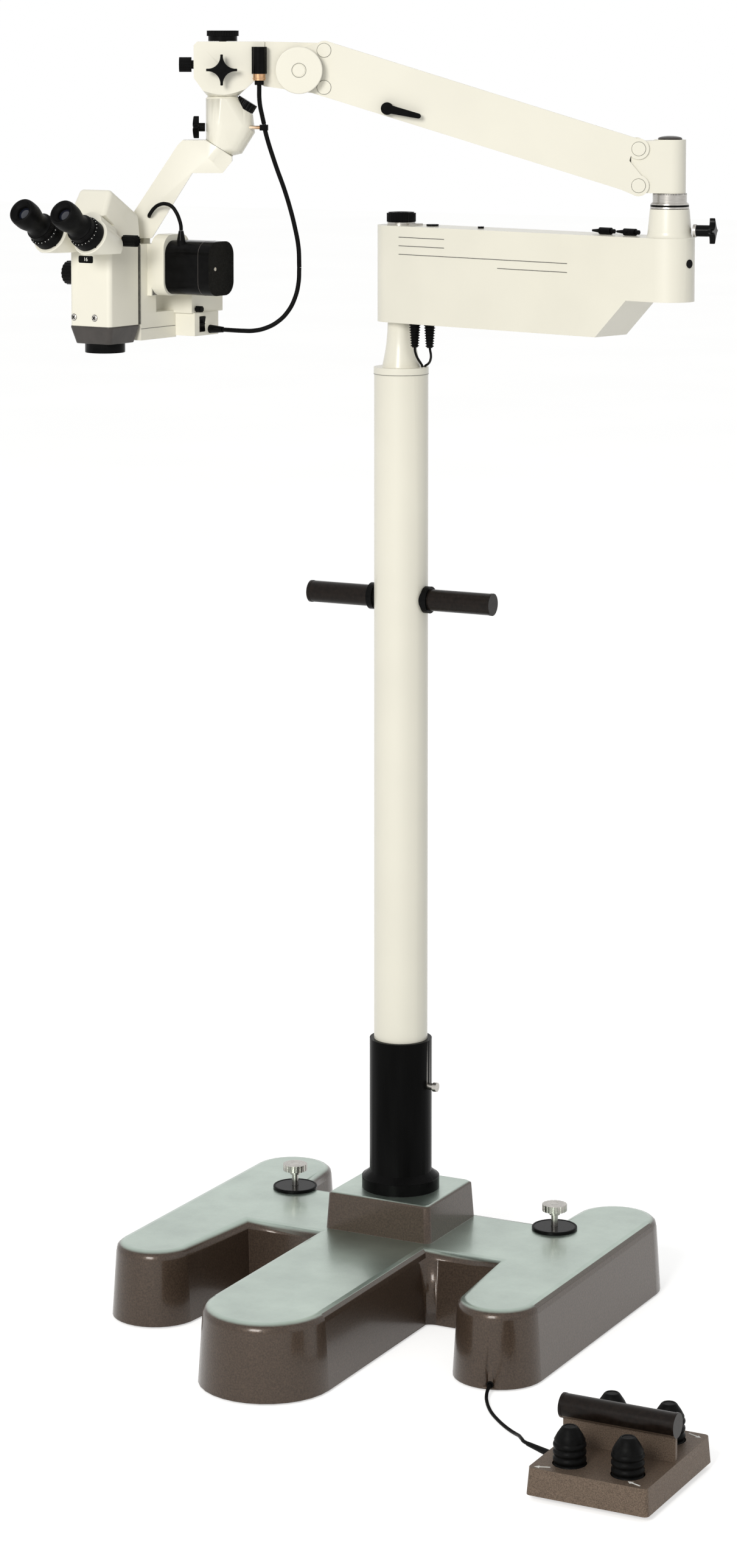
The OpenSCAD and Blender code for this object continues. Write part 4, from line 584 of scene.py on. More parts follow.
# Settings
def paint(name, description, color):
    return FloatVectorProperty(name=name, description=description, default=color, subtype="COLOR",
                               min=0, max=1)


class MicroscopeColors(PropertyGroup):
    enamel: paint("Enamel", "Cream paint of the arm, the box and the microscope", (0.815, 0.79, 0.68))
    casting: paint("Base casting", "Hammered metallic paint of the heavy base", (0.062, 0.042, 0.029))
    switch_paint: paint("Foot switch", "Textured paint of the foot switch", (0.14, 0.103, 0.076))
    plastic: paint("Black plastic", "Knobs, boots, eyepieces and covers", (0.004, 0.004, 0.004))
    skirt: paint("Skirt", "Dark grey-brown skirt below the microscope's body", (0.04, 0.034, 0.03))
    grip: paint("Grips", "Moulding of the stand's push bar", (0.009, 0.006, 0.0045))
    steel: paint("Steel", "Turned steel of screws, rings and jack knobs", (0.46, 0.44, 0.41))
    brass: paint("Copper alloy", "Collars and bushes", (0.60, 0.36, 0.2))


class MicroscopeSizes(PropertyGroup):
    soft_edge: FloatProperty(
        name="Soft edge", description="Rounding of the painted housings' edges, in millimetres",
        default=1.6, min=0.1, max=4)
    fine_edge: FloatProperty(
        name="Fine edge", description="Rounding of small turned and moulded pieces, in millimetres",
        default=0.5, min=0.05, max=2)
    stripe_height: FloatProperty(
        name="Stripe height", description="Height of the dark lines on the box, in millimetres",
        default=1.1, min=0.3, max=4)
    camera_lens: FloatProperty(
        name="Camera lens", description="Focal length of the view like the photograph's",
        default=87.16, min=10, max=300, unit="CAMERA")
    light_level: FloatProperty(
        name="Sky level", description="Strength of the even studio light",
        default=0.5, min=0, max=5)
    number: StringProperty(
        name="Window number", description="Plain number in the magnification window", default="16")


def sizes():
    return bpy.context.scene.microscope_sizes


# Stage
FLOOR_HALF, FLOOR_GLOW = 30, 0.56
CAMERA_PLACE = (2.5149, -4.9782, 1.900)
CAMERA_SIDE, CAMERA_BACK, CAMERA_DIP, CAMERA_SHIFT = 0.4586, 0.8886, 4.6, -0.2879


def background_rays(tree):
    """One for rays from the camera, off gloss or through glass, and none for other rays."""
    path = tree.nodes.new("ShaderNodeLightPath")
    found = path.outputs["Is Camera Ray"]
    for kind in ("Is Glossy Ray", "Is Transmission Ray"):
        either = tree.nodes.new("ShaderNodeMath")
        either.operation = "MAXIMUM"
        tree.links.new(found, either.inputs[0])
        tree.links.new(path.outputs[kind], either.inputs[1])
        found = either.outputs[0]
    return found


def glowing_floor_paint():
    """Pale paint that also shines for the camera, gloss and glass, but lights nothing."""
    f = Finish("studio_floor", (0.86, 0.86, 0.85), 0.9)
    f.tint(f.noise(0.8, 2), (0.85, 0.85, 0.84), (0.87, 0.87, 0.86)).specular(0.0)
    glow, nothing = f.node("ShaderNodeEmission"), f.node("ShaderNodeEmission")
    glow.inputs["Strength"].default_value = FLOOR_GLOW
    nothing.inputs["Strength"].default_value = 0.0
    pick, add = f.node("ShaderNodeMixShader"), f.node("ShaderNodeAddShader")
    f.link(background_rays(f.tree), pick.inputs[0])
    f.link(nothing.outputs[0], pick.inputs[1])
    f.link(glow.outputs[0], pick.inputs[2])
    f.link(f.shader.outputs[0], add.inputs[0])
    f.link(pick.outputs[0], add.inputs[1])
    f.link(add.outputs[0], f.tree.nodes["Material Output"].inputs["Surface"])
    return f.material


class MICROSCOPE_OT_stage(Operator):
    """Set up the pale floor, the soft studio light and the camera"""
    bl_idname = "microscope.stage"
    bl_label = "Stage, light and camera"

    def execute(self, context):
        scene = context.scene
        scene.view_settings.view_transform = "Standard"
        self.floor()
        self.sky(scene)
        self.lamps()
        self.camera(scene)
        return {"FINISHED"}

    def floor(self):
        bm = bmesh.new()
        bmesh.ops.create_grid(bm, x_segments=1, y_segments=1, size=FLOOR_HALF)
        mesh = bpy.data.meshes.new("studio_floor")
        bm.to_mesh(mesh)
        bm.free()
        mesh.materials.append(glowing_floor_paint())
        placed("studio_floor", mesh)

    def sky(self, scene):
        world = bpy.data.worlds.new("studio_sky")
        scene.world = world
        world.use_nodes = True
        nodes, links = world.node_tree.nodes, world.node_tree.links
        back = nodes["Background"]
        back.inputs["Color"].default_value = (1, 1, 1, 1)
        level = nodes.new("ShaderNodeMapRange")
        links.new(background_rays(world.node_tree), level.inputs["Value"])
        level.inputs["To Min"].default_value = sizes().light_level
        level.inputs["To Max"].default_value = 1.0
        links.new(level.outputs["Result"], back.inputs["Strength"])

    def lamps(self):
        for name, place, aim, size, power, tone in (
                ("key_softbox", (0.6, -6.5, 3.6), (0, -0.2, 1.2), 2.1, 250, (1, 0.985, 0.955)),
                ("side_softbox", (4.2, -1.2, 2.4), (0.2, -0.2, 1.2), 1.8, 3, (0.96, 0.98, 1))):
            lamp = bpy.data.lights.new(name, "AREA")
            lamp.energy, lamp.size, lamp.color = power, size, tone
            obj = placed(name, lamp)
            obj.location = place
            obj.rotation_euler = (Vector(aim) - Vector(place)).to_track_quat("-Z", "Y").to_euler()

    def camera(self, scene):
        data = bpy.data.cameras.new("photo_camera")
        data.lens, data.sensor_width = sizes().camera_lens, 36
        data.shift_y = CAMERA_SHIFT
        data.clip_end = 2 * FLOOR_HALF
        cam = placed("photo_camera", data)
        cam.location = CAMERA_PLACE
        cam.rotation_euler = (math.radians(90 - CAMERA_DIP), 0, math.atan2(CAMERA_SIDE, CAMERA_BACK))
        scene.camera = cam


# Cords, whose routes are those of the solids
ROUTES = {
    "pedal_cord": [
        (294.5, -303, 10), (297, -313, 9.5), (299, -323, 7), (304, -337, 4), (313, -354, 3),
        (325, -373, 3), (338, -390, 3), (353, -406, 3), (370, -422, 3), (388, -438, 4), (403, -453, 7),
        (415, -468, 11.5), (425, -484, 16), (433, -497, 19.5), (441, -508, 21.5), (449, -513.5, 22)],
    "light_cable_upper": [
        (-51, 34, 1827), (-51, 34, 1816), (-51, 33, 1805), (-52, 30, 1793), (-54.5, 26, 1780),
        (-57, 22, 1768)],
    "light_cable_middle": [
        (-57, 22, 1767), (-59, 21.5, 1757), (-63, 21, 1742), (-68, 20, 1726), (-75, 19, 1705),
        (-84, 18, 1680), (-92, 17, 1654), (-99, 16, 1626), (-104, 15, 1598), (-105, 15, 1570.3)],
    "light_cable_lower": [
        (-105, 15, 1570), (-104, 15.5, 1549), (-99, 16, 1528), (-89, 16, 1509), (-75, 15, 1495),
        (-58, 12, 1486), (-41, 7, 1482), (-27, 1, 1481.5), (-14, -7, 1481.5), (-4, -14, 1481.6),
        (1, -17.4, 1481.6)],
    "motor_lead": [
        (101, 21.5, 1641), (100, 28, 1643.5), (93, 31, 1653), (85, 37, 1658), (77, 42.5, 1659),
        (69, 47, 1656), (62.5, 50, 1648), (57.8, 51.5, 1637), (55.9, 52, 1629), (55.7, 51.9, 1623)],
}
CORDS = (
    ("pedal_cord", WORLD, 2.5, "stand", "loose"),
    ("light_cable_upper", HEAD, 3.1, "head", "hanging"),
    ("light_cable_middle", HEAD, 3.1, "coupler", "hanging"),
    ("light_cable_lower", HEAD, 3.1, "bracket", "hanging"),
    ("motor_lead", HEAD, 2.6, "bracket", "hanging"),
)
BOOT_PLACES = ((40, -14), (62, -6))
BOOT_LEADS = (
    [(40, -14, 1433.5), (40, -14, 1429), (39, -11, 1423), (35, -2, 1415), (30, 10, 1407), (26.5, 17, 1402),
     (25, 20, 1396), (25, 20.2, 1389)],
    [(62, -6, 1433.5), (62, -5, 1429), (59, 0, 1422), (49, 10, 1413), (36, 19.5, 1406), (26.5, 23, 1401.5),
     (22.6, 23.2, 1396), (22.2, 23.2, 1389)],
)
BOOT_L, BOOT_RIBS, BOOT_LEAD_R = 36, 9, 1.8


class MICROSCOPE_OT_cords(Operator):
    """Lay the foot switch's cord, the light cable, the motor's lead and the boots' leads"""
    bl_idname = "microscope.cords"
    bl_label = "Cords"

    def execute(self, context):
        for name, place, radius, body, lay in CORDS:
            path = tube_path(ROUTES[name], place)
            obj = cord_curve(name + "_run", path, radius, "rubber")
            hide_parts(name)
            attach(obj, body)
            path_length(path)
        for k, (spot, route) in enumerate(zip(BOOT_PLACES, BOOT_LEADS)):
            self.boot_lead(f"boot_lead_{k + 1}", tube_path(route, SWING))
            self.boot(f"boot_{k + 1}", SWING @ shift(*spot, BOX_BOTTOM - BOOT_L))
        return {"FINISHED"}

    def boot_lead(self, name, path):
        lead = cord_curve(name, path, BOOT_LEAD_R, "rubber")
        mesh = bpy.data.meshes.new_from_object(lead.evaluated_get(bpy.context.evaluated_depsgraph_get()))
        bpy.data.objects.remove(lead)
        tube = placed(name, mesh)
        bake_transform(tube)
        path_length(path)

    def boot(self, name, place):
        profile = [(0, 0), (4.0, 0)]
        for i in range(BOOT_RIBS):
            wide = 4.6 + 2.3 * i / (BOOT_RIBS - 1)
            low = 1.5 + 3.8 * i
            profile += [(wide, low), (wide + 1.5, low + 0.5), (wide + 1.6, low + 1.6), (wide, low + 2.1)]
        profile += [(7.2, BOOT_L), (0, BOOT_L)]
        piece(name, lathe(profile, 32), "rubber", "swing_arm", place, node="swing_cables", degrees=50)


# Stand
class MICROSCOPE_OT_base(Operator):
    """Finish the base casting, its pads and its two jack screws"""
    bl_idname = "microscope.base"
    bl_label = "Base and jacks"

    def execute(self, context):
        dressed("base_casting", "casting", "stand", edge=0, degrees=62, flat=0.4, rim=0.5)
        dressed("floor_pads", "rubber", "stand", edge=0.8)
        dressed("jack_bushes", "black", "stand", edge=0.9)
        for name in ("left", "right"):
            dressed(f"jack_screw_{name}", "steel", f"jack_{name}", edge=sizes().fine_edge)
            place = shift(*middle(f"jack_screw_{name}"), 0)
            cap = lathe([(0, 0.2), (6, 0.2), (6.4, -0.2), (7.4, -0.2), (7.8, 0.2), (12, 0.2), (12.4, -0.1),
                         (13.2, -0.1), (13.6, 0.2), (16.4, 0.1), (16.8, -0.6), (0, -0.6)], 64)
            piece(f"jack_cap_{name}", cap, "steel", f"jack_{name}", place @ shift(0, 0, JACK_TOP))
            piece(f"jack_disc_rim_{name}", ring(30.5, 33.2, JACK_DISC_TOP - 0.1, JACK_DISC_TOP + 0.5, 0.3),
                  "rubber", "stand", place)
        return {"FINISHED"}


class MICROSCOPE_OT_column(Operator):
    """Finish the sleeve, the column, its cap and the push bar"""
    bl_idname = "microscope.column"
    bl_label = "Column and push bar"

    def execute(self, context):
        bolt = inside(WORLD, (40.5, -8, PEDESTAL_TOP + 148), (80, 8, PEDESTAL_TOP + 168))
        pivot = inside(WORLD, (-15, -15, BOX_BOTTOM - 1), (15, 15, BOX_TOP + 20))
        collars = inside(WORLD, (-52, -30, GRIP_Z - 30), (52, 30, GRIP_Z + 30))
        dressed("column_sleeve", "sleeve", "stand", edge=1.2, parts=[("steel", bolt)])
        dressed("column_tube", "cream", "stand", edge=0.5)
        dressed("column_head", "cream", "stand", edge=1.0, parts=[("steel", pivot)])
        piece("cap_joint_line", ring(40.1, 40.75, COLUMN_TOP - 0.5, COLUMN_TOP + 0.4, 0.1), "seam", "stand")
        dressed("grip_bar", "grip", "stand", edge=1.2, parts=[("black", collars)])
        return {"FINISHED"}


class MICROSCOPE_OT_foot_switch(Operator):
    """Finish the foot switch, its four bellows buttons and its arrows"""
    bl_idname = "microscope.foot_switch"
    bl_label = "Foot switch"

    def execute(self, context):
        bar = inside(PEDAL, (-100, -18, 82), (100, 18, 130))
        dressed("pedal_housing", "switch", "stand", edge=1.0, parts=[("grip", bar)])
        dressed("cord_glands", "rubber", "stand", edge=0.7)
        for x, side in ((-BUTTON_X, "left"), (BUTTON_X, "right")):
            for y, end in ((-BUTTON_Y, "front"), (BUTTON_Y, "back")):
                self.bellows(f"pedal_button_{end}_{side}", f"pedal_{end}_{side}", PEDAL @ shift(x, y, 0))
        self.arrows()
        return {"FINISHED"}

    def bellows(self, node, body, place):
        low, top = 33.0, 93.0
        profile = [(0, low), (20.2, low), (20.2, low + 3)]
        for i in range(4):
            z = low + 4.5 + 9.6 * i
            profile += [(20.4, z), (21.7, z + 1.4), (21.9, z + 3.2), (21.6, z + 5.0), (20.3, z + 6.4),
                        (19.9, z + 8.0)]
        profile += [(20.2, top - 19.5), (20.5, top - 17), (16.5, top - 9.5), (12.4, top - 3.5),
                    (11, top - 1.4), (9.4, top), (7.6, top), (7.2, top - 0.7), (0, top - 0.7)]
        piece(node + "_bellows", lathe(profile, 56), "rubber", body, place, node=node, degrees=50)

    def arrows(self):
        for name, x, y, angle in (("lf", -ARROW_X, -ARROW_Y, 200), ("rf", ARROW_X, -ARROW_Y, 160),
                                  ("lb", -ARROW_X, ARROW_Y, 20), ("rb", ARROW_X, ARROW_Y, -20)):
            head = bmesh.new()
            bmesh.ops.create_circle(head, segments=3, radius=4.6 * MM, cap_ends=True)
            bmesh.ops.solidify(head, geom=head.faces, thickness=0.3 * MM)
            arrow = joined((block((15, 2.4, 0.3)), shift(0, 0, 0.1)),
                           (head, shift(9, 0, 0.1) @ turn(-90, "Z")))
            piece("arrow_" + name, arrow, "ink", "stand", PEDAL @ shift(x, y, PEDAL_TOP) @ turn(angle, "Z"))


# Swing arm, yoke and parallelogram arm
STRIPES = ((27, 116), (27, 116), (27, 348), (218, 348))
STRIPE_DROP, STRIPE_PITCH = 16, 12.5


class MICROSCOPE_OT_box(Operator):
    """Finish the swing arm's box, its stripes and its fittings"""
    bl_idname = "microscope.box"
    bl_label = "Swing arm box"

    def execute(self, context):
        metal = inside(SWING, (-25, -25, BOX_TOP - 1), (42, 25, BOX_TOP + 6))
        dressed("box_housing", "cream", "swing_arm", edge=sizes().soft_edge)
        dressed("swing_bushes", "brass", "swing_arm", edge=0.3)
        dressed("transformer", "steel", "swing_arm", edge=0.8)
        dressed("box_fittings", "black", "swing_arm", edge=0.6, parts=[("steel", metal)])
        dressed("yoke_socket", "cream", "swing_arm", edge=0.6, degrees=40)
        lines = [stripe(a, b, BOX_TOP - STRIPE_DROP - STRIPE_PITCH * i, -BOX_W / 2, sizes().stripe_height)
                 for i, (a, b) in enumerate(STRIPES)]
        piece("box_stripes", joined(*[(line, WORLD) for line in lines]), "stripe", "swing_arm", SWING)
        for i, drop in enumerate((33, 39)):
            spot = YOKE @ shift(33, 0, BOX_TOP - drop) @ TO_X
            piece(f"end_socket_pin_{i + 1}", button(1.6, -0.4, 0.8, 0.3), "steel", "swing_arm", spot)
        self.knobs()
        return {"FINISHED"}

    def knobs(self):
        dressed("brake_knob", "black", "brake", edge=sizes().fine_edge)
        top = BOX_TOP + 18.5
        piece("brake_knob_face", ring(12.5, 19.2, top - 0.6, top + 0.2, 0.3), "rubber", "brake", SWING)
        wall = YOKE @ shift(0, 0, BOX_TOP + 10) @ turn(25, "Z") @ TO_X @ shift(0, 0, 34)
        star_knob("socket_knob", "socket_lock", wall, 17.9, 9, 22.7, 8)
        neck = lathe([(0, 0.2), (9.2, 0.2), (9.2, 3.6), (8.6, 4.4), (0, 4.4)], 40)
        piece("socket_knob_neck", neck, "steel", "socket_lock", wall)


class MICROSCOPE_OT_yoke(Operator):
    """Finish the yoke's steel spindle and its post"""
    bl_idname = "microscope.yoke"
    bl_label = "Yoke"

    def execute(self, context):
        dome = inside(YOKE, (-40, -40, POST_TOP - 1), (40, 40, POST_TOP + 20))
        dressed("yoke_spindle", "steel", "yoke", edge=0.6, parts=[("skirt", dome)])
        dressed("yoke_post", "cream", "yoke", edge=1.2)
        base = YOKE @ shift(0, 0, POST_BASE)
        # painted shade: a black band stands for the shade in the groove below the collar
        piece("groove_painted_shade", ring(25.6, 26.75, -19, -16, 0.3), "black", "yoke", base)
        piece("collar_lip", ring(23.2, 24.6, -14.4, -12.8, 0.4), "steel", "yoke", base)
        piece("collar_top_shadow", ring(20.0, 23.6, -2.6, -0.1, 0.3), "skirt", "yoke", base)
        return {"FINISHED"}


class MICROSCOPE_OT_arm(Operator):
    """Finish the parallelogram arm, its pivots, its lever and its dial"""
    bl_idname = "microscope.arm"
    bl_label = "Parallelogram arm"

    def execute(self, context):
        dressed("arm_cover", "cream", "arm", edge=1.0)
        dressed("pivot_pins", "cream", "arm", edge=0.5)
        dressed("balance_spring", "steel", "arm", edge=0.3)
        dressed("clamp_lever", "black", "clamp", edge=1.2)
        dressed("balance_dial", "cream", "balance", edge=1.4)
        dressed("tie_rod", "steel", "tie", edge=0.5)
        lean = math.radians(LIFT)
        low_x, low_z = -PIVOT_GAP * math.sin(lean), -PIVOT_GAP * math.cos(lean)
        for i, x in enumerate((0, LINK)):
            for j, (px, pz) in enumerate(((x, 0), (x + low_x, low_z))):
                for k, side in enumerate((-1, 1)):
                    place = LIFTED @ shift(px, side * COVER_W / 2, pz) @ turn(-90 * side, "X")
                    cap = lathe([(0, -0.3), (9.2, -0.3), (9.2, 0.1), (8.6, 0.8), (6.5, 1.1), (0, 1.2)], 48)
                    piece(f"pivot_face_{i}{j}{k}", cap, "cream", "arm", place)
                    piece(f"pivot_ring_{i}{j}{k}", ring(9.3, 10.0, -0.2, 0.3, 0.1), "seam", "arm", place)
        dial = LIFTED @ shift(LINK + 24.4, COVER_W / 2, -36) @ TO_Y
        piece("dial_centre_ring", ring(9.3, 10.1, 16.6, 17.75, 0.2), "seam", "balance", dial)
        piece("dial_centre_cap", button(8.4, 16.5, 17.6, 0.5), "cream", "balance", dial)
        piece("dial_foot_shadow", ring(29.5, 31.9, 2.3, 3.4, 0.2), "seam", "balance", dial)
        return {"FINISHED"}


# Head and coupler
class MICROSCOPE_OT_head(Operator):
    """Finish the head block, its knobs and the light connector"""
    bl_idname = "microscope.head"
    bl_label = "Head"

    def execute(self, context):
        connector = HEAD @ shift(-51, 34, HEAD_TOP - 7)
        collar = inside(connector, (-12, -12, -47), (12, 12, -37.1))
        dressed("head_block", "cream", "head", edge=2.2)
        dressed("light_connector", "black", "head", edge=3.4, parts=[("brass", collar)])
        dressed("head_top_knob", "black", "head_top", edge=0.4)
        dressed("head_side_knob", "black", "head_side", edge=0.4)
        cheek = HEAD @ shift(0, 25.5, HEAD_BOTTOM + 36) @ TO_Y
        star_knob("head_star_knob", "head_star", cheek, 21.4, 9, 12, 8)
        top = HEAD @ shift(0, 0, HEAD_TOP)
        piece("top_knob_face", ring(9, 19.5, 14.6, 15.1, 0.2), "rubber", "head_top", top)
        piece("connector_ring_1", ring(7.6, 9.2, -44, -42.4, 0.4), "brass", "head", connector)
        piece("connector_ring_2", ring(4.0, 6.4, -52.2, -46, 0.6), "black", "head", connector)
        return {"FINISHED"}


class MICROSCOPE_OT_coupler(Operator):
    """Finish the coupler, its knobs and the bracket with the rail"""
    bl_idname = "microscope.coupler"
    bl_label = "Coupler and bracket"

    def execute(self, context):
        spot = HEAD @ turn(159, "Z") @ shift(61, 0, TILT_Z + 20)
        clip = inside(spot, (-6.2, -6.2, -4.2), (6.2, 6.2, 4.2))
        stub = inside(spot, (-14, -2.8, -2.8), (-5.9, 2.8, 2.8))
        dressed("coupler_body", "cream", "coupler", edge=1.0, degrees=55,
                parts=[("black", clip), ("brass", stub)])
        star_knob("coupler_star", "coupler_lock", HEAD @ shift(24, 0, TILT_Z + 20) @ TO_X, 15.4, 9, 9, 6)
        dressed("tilt_knob", "black", "tilt_lock", edge=sizes().fine_edge)
        dressed("bracket_arm", "cream", "bracket", edge=1.6)
        under = HEAD @ shift(0, 0, HEAD_BOTTOM)
        piece("coupler_joint_line", ring(20.2, 21.3, -5.2, -4.2, 0.2), "seam", "coupler", under)
        piece("tilt_joint_line", ring(21.2, 21.95, -9.7, -8.9, 0.2), "seam", "coupler", TILT)
        return {"FINISHED"}


# Microscope
class MICROSCOPE_OT_scope_body(Operator):
    """Finish the microscope's body, its window, its screws and its skirt"""
    bl_idname = "microscope.scope_body"
    bl_label = "Microscope body"

    def execute(self, context):
        front = SCOPE @ shift(0, -BODY_D / 2, 0)
        lens_ring = inside(SCOPE @ shift(0, 0, BODY_BOTTOM - 37), (-28, -28, -1), (28, 28, 13.2))
        lock_pin = inside(SCOPE @ shift(BODY_W / 2, -18.5, BODY_TOP + 8), (0, -5, -5), (12.9, 5, 5))
        dressed("scope_body", "cream", "scope", edge=sizes().soft_edge)
        dressed("scope_skirt", "skirt", "scope", edge=0.8, parts=[("black", lens_ring)])
        dressed("objective_lens", "glass", "scope", edge=0.4)
        dressed("magnification_knob", "black", "magnification", edge=0.9)
        dressed("tube_lock_knob", "black", "tube_lock", edge=0.4, parts=[("brass", lock_pin)])
        self.window(front @ shift(-6, 0, BODY_TOP - 18.5))
        for name, z in (("tube_seam", BODY_TOP), ("skirt_seam", BODY_BOTTOM + 0.2)):
            line = block((BODY_W + 0.4, BODY_D + 0.4, 0.5), 7, 2)
            piece(name, line, "stripe", "scope", SCOPE @ shift(0, 0, z))
        for i, x in enumerate((-27, 8.6)):
            self.front_screw(i + 1, front @ shift(x, 0, BODY_BOTTOM + 12) @ turn(90, "X"))
        cap = lathe([(0, 28.3), (9, 28.2), (13, 27.6), (13.4, 27.2), (0, 27.2)], 48)
        piece("magnification_cap", cap, "rubber", "magnification",
              SCOPE @ shift(-BODY_W / 2, 0, BODY_TOP - 40) @ turn(-90, "Y"))
        return {"FINISHED"}

    def front_screw(self, number, spot):
        piece(f"front_screw_{number}", screw_head(4.4, 1.6), "steel", "scope", spot)
        piece(f"front_screw_rim_{number}", ring(4.3, 4.9, -0.2, 0.25, 0.1), "stripe", "scope", spot)
        for j in range(2):
            piece(f"front_screw_slot_{number}{j + 1}", block((6.2, 1.3, 0.5)), "black", "scope",
                  spot @ shift(0, 0, 1.5) @ turn(45 + 90 * j, "Z"))

    def window(self, spot):
        border = block((25, 1.0, 10), 2.4, 1)
        piece("window_frame", border, "black", "scope", spot @ shift(0, 0.35, 0), edge=0.2)
        text = bpy.data.curves.new("window_number", "FONT")
        text.body, text.size, text.extrude = sizes().number, 7.2 * MM, 0.1 * MM
        text.align_x, text.align_y = "CENTER", "CENTER"
        holder = placed("window_number_text", text)
        mesh = bpy.data.meshes.new_from_object(holder.evaluated_get(bpy.context.evaluated_depsgraph_get()))
        bpy.data.objects.remove(holder)
        bm = bmesh.new()
        bm.from_mesh(mesh)
        piece("window_number", bm, "ink", "scope", spot @ shift(0, -0.25, 0) @ turn(90, "X"))


class MICROSCOPE_OT_tubes(Operator):
    """Finish the tube head, the two prism housings and the eyepieces"""
    bl_idname = "microscope.tubes"
    bl_label = "Tube head and eyepieces"

    def execute(self, context):
        self.tube_head()
        for side, name in ((-1, "left"), (1, "right")):
            place = eye_place(side)
            dressed(f"prism_{name}", "cream", f"prism_{name}_body", edge=3.0)
            self.eyepiece(name, place)
            for i, x in enumerate((-15, 15)):
                piece(f"prism_screw_{name}_{i + 1}", button(1.7, -0.4, 0.5, 0.2), "black",
                      f"prism_{name}_body", place @ shift(x, -15, -0.4))
        return {"FINISHED"}

    def tube_head(self):
        """A tapered housing with a face that leans towards the eyes, and rounded upper edges."""
        tilt = math.radians(EYE_TILT)
        back, top, foot, high = BODY_D / 2, 43.5, 0.02, 78.5

        def eye_point(forward, up):
            return (EYE_Y - forward * math.cos(tilt) + up * math.sin(tilt),
                    EYE_RISE + forward * math.sin(tilt) + up * math.cos(tilt))
        low_up = (foot - eye_point(-EYE_OUT, 0)[1]) / math.cos(tilt)
        outline = [eye_point(-EYE_OUT, low_up), (back, foot), (back, top), (-20, high),
                   eye_point(-16.5, 39.5), eye_point(-EYE_OUT, 39.5)]
        bm = bmesh.new()
        walls = []
        for side in (-1, 1):
            verts = [bm.verts.new((side * (35 - 8 * z / high) * MM, y * MM, (z + BODY_TOP) * MM))
                     for y, z in outline]
            walls.append(verts)
            bm.faces.new(verts if side > 0 else verts[::-1])
        for i in range(len(outline)):
            j = (i + 1) % len(outline)
            bm.faces.new((walls[0][i], walls[0][j], walls[1][j], walls[1][i]))
        bmesh.ops.recalc_face_normals(bm, faces=bm.faces)
        bm.edges.ensure_lookup_table()
        base = (BODY_TOP + 1) * MM
        soft = [e for e in bm.edges if max(v.co.z for v in e.verts) > base and (
            abs(e.verts[0].co.x - e.verts[1].co.x) < 0.02 and min(v.co.z for v in e.verts) > base
            or max(v.co.z for v in e.verts) > (BODY_TOP + 60) * MM)]
        round_off(bm, soft, 7, 6)
        piece("tube_head_shell", bm, "cream", "scope", SCOPE, node="tube_head", degrees=35)
        slant = SCOPE @ shift(31.95, -11, BODY_TOP + 26) @ turn(-5.8, "Y") @ turn(-16, "X")
        piece("tube_head_seam", block((0.5, 0.7, 52)), "stripe", "scope", slant)

    def eyepiece(self, name, place):
        body = f"eye_{name}"
        profile = [
            (0, -9.8), (14, -9.8), (14, 0.6), (21.6, 0.6), (22.4, 1.4), (22.4, 14.6), (21.9, 15.6),
            (20.6, 16.6), (18.6, 17.0), (18.6, 27.6), (17.4, 28.6), (16.6, 29.4), (15.9, 31), (15.7, 37.6),
            (16.1, 40), (17.0, 43.6), (18.3, 48.4), (19.1, 52.6), (19.4, 56), (19.4, 61), (19.3, 65),
            (18.9, 68), (18.2, 70.3), (17.3, 71.6), (16.3, 72), (15.4, 71.6), (14.4, 70.2), (12.2, 67.8),
            (9.6, 66.4), (8.9, 65), (8.9, 60), (0, 60)]
        piece(f"eyepiece_{name}_moulding", lathe(profile, 72), "rubber", body, place,
              node=f"eyepiece_{name}", degrees=42)
        piece(f"eyepiece_{name}_knurl", knurl(19.5, 17.8, 26.8, 54, 0.5, 18.25), "black", body, place,
              degrees=25)
        lens = lathe([(0, 64.2), (4, 64.0), (7.2, 63.2), (8.9, 62), (8.9, 61.6), (0, 61.6)], 48)
        piece(f"eyepiece_{name}_lens", lens, "glass", body, place)
        edge = shift(0, 21.0, 16.5) @ turn(-25, "X")
        ticks = [(block((0.5, 1.4, 0.3)), turn(15 * k, "Z") @ edge) for k in range(24)]
        piece(f"eyepiece_{name}_ticks", joined(*ticks), "ink", body, place)


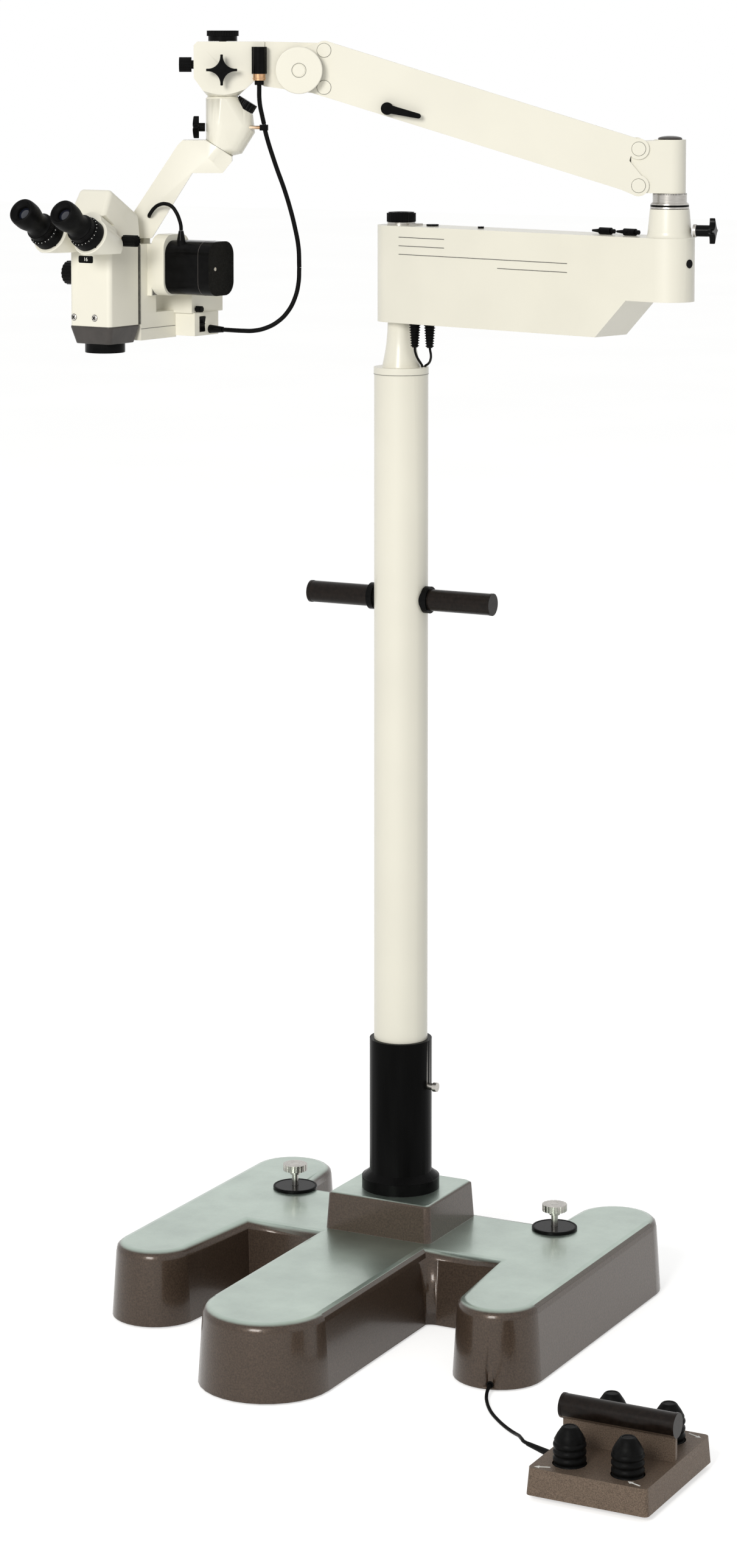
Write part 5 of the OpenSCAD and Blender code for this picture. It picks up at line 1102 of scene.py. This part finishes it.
class MICROSCOPE_OT_drive(Operator):
    """Finish the focus carriage and its motor, the illuminator, the switch and the dimmer"""
    bl_idname = "microscope.drive"
    bl_label = "Focus drive and illuminator"

    def execute(self, context):
        relief = inside(SCOPE, (137.9, 60, BODY_TOP - 45), (142, 75, BODY_TOP - 10))
        gland = inside(SCOPE, (68.2, 140, BODY_BOTTOM - 30), (95, 158, BODY_BOTTOM + 10))
        dressed("focus_carriage", "cream", "scope", edge=1.2)
        for name, size, spot in (("body", (70.5, 0.7, 109), (0, 34.15, BODY_TOP - 55)),
                                 ("mount", (0.7, 52, 70), (41.9, 78, BODY_TOP - 35.5)),
                                 ("bar", (0.5, 78, 0.7), (35.0, 74, BODY_BOTTOM - 6))):
            piece(name + "_seam", block(size), "stripe", "scope", SCOPE @ shift(*spot))
        dressed("focus_motor", "black", "scope", edge=2.0, parts=[("steel", relief)])
        dressed("illuminator", "cream", "scope", edge=1.0, parts=[("black", gland)])
        dressed("rocker_switch", "black", "lamp_switch", edge=0.5)
        dressed("lamp_knob", "black", "lamp_dim", edge=0.3)
        cap_line = block((0.8, 58.3, 74.3), 19, 0, 9)
        piece("motor_cap_seam", cap_line, "skirt", "scope", SCOPE @ shift(119.7, 81, BODY_TOP - 32))
        return {"FINISHED"}


PIECES = (
    MICROSCOPE_OT_stage, MICROSCOPE_OT_cords, MICROSCOPE_OT_base, MICROSCOPE_OT_column,
    MICROSCOPE_OT_foot_switch, MICROSCOPE_OT_box, MICROSCOPE_OT_yoke, MICROSCOPE_OT_arm,
    MICROSCOPE_OT_head, MICROSCOPE_OT_coupler, MICROSCOPE_OT_scope_body, MICROSCOPE_OT_tubes,
    MICROSCOPE_OT_drive)


class MICROSCOPE_PT_panel(Panel):
    """Sidebar panel with the microscope's settings and pieces"""
    bl_label = "Microscope"
    bl_idname = "MICROSCOPE_PT_panel"
    bl_space_type = "VIEW_3D"
    bl_region_type = "UI"
    bl_category = "Microscope"

    def draw(self, context):
        column = self.layout.column(align=True)
        for group in (context.scene.microscope_sizes, context.scene.microscope_colors):
            for name in group.__annotations__:
                column.prop(group, name)
            column.separator()
        for kind in PIECES:
            column.operator(kind.bl_idname)


CLASSES = (MicroscopeColors, MicroscopeSizes) + PIECES + (MICROSCOPE_PT_panel,)


def register():
    for kind in CLASSES:
        bpy.utils.register_class(kind)
    bpy.types.Scene.microscope_colors = PointerProperty(type=MicroscopeColors)
    bpy.types.Scene.microscope_sizes = PointerProperty(type=MicroscopeSizes)


def unregister():
    del bpy.types.Scene.microscope_sizes
    del bpy.types.Scene.microscope_colors
    for kind in reversed(CLASSES):
        bpy.utils.unregister_class(kind)


def main():
    register()
    for kind in PIECES:
        group, name = kind.bl_idname.split(".")
        getattr(getattr(bpy.ops, group), name)()


if __name__ == "__main__":
    main()
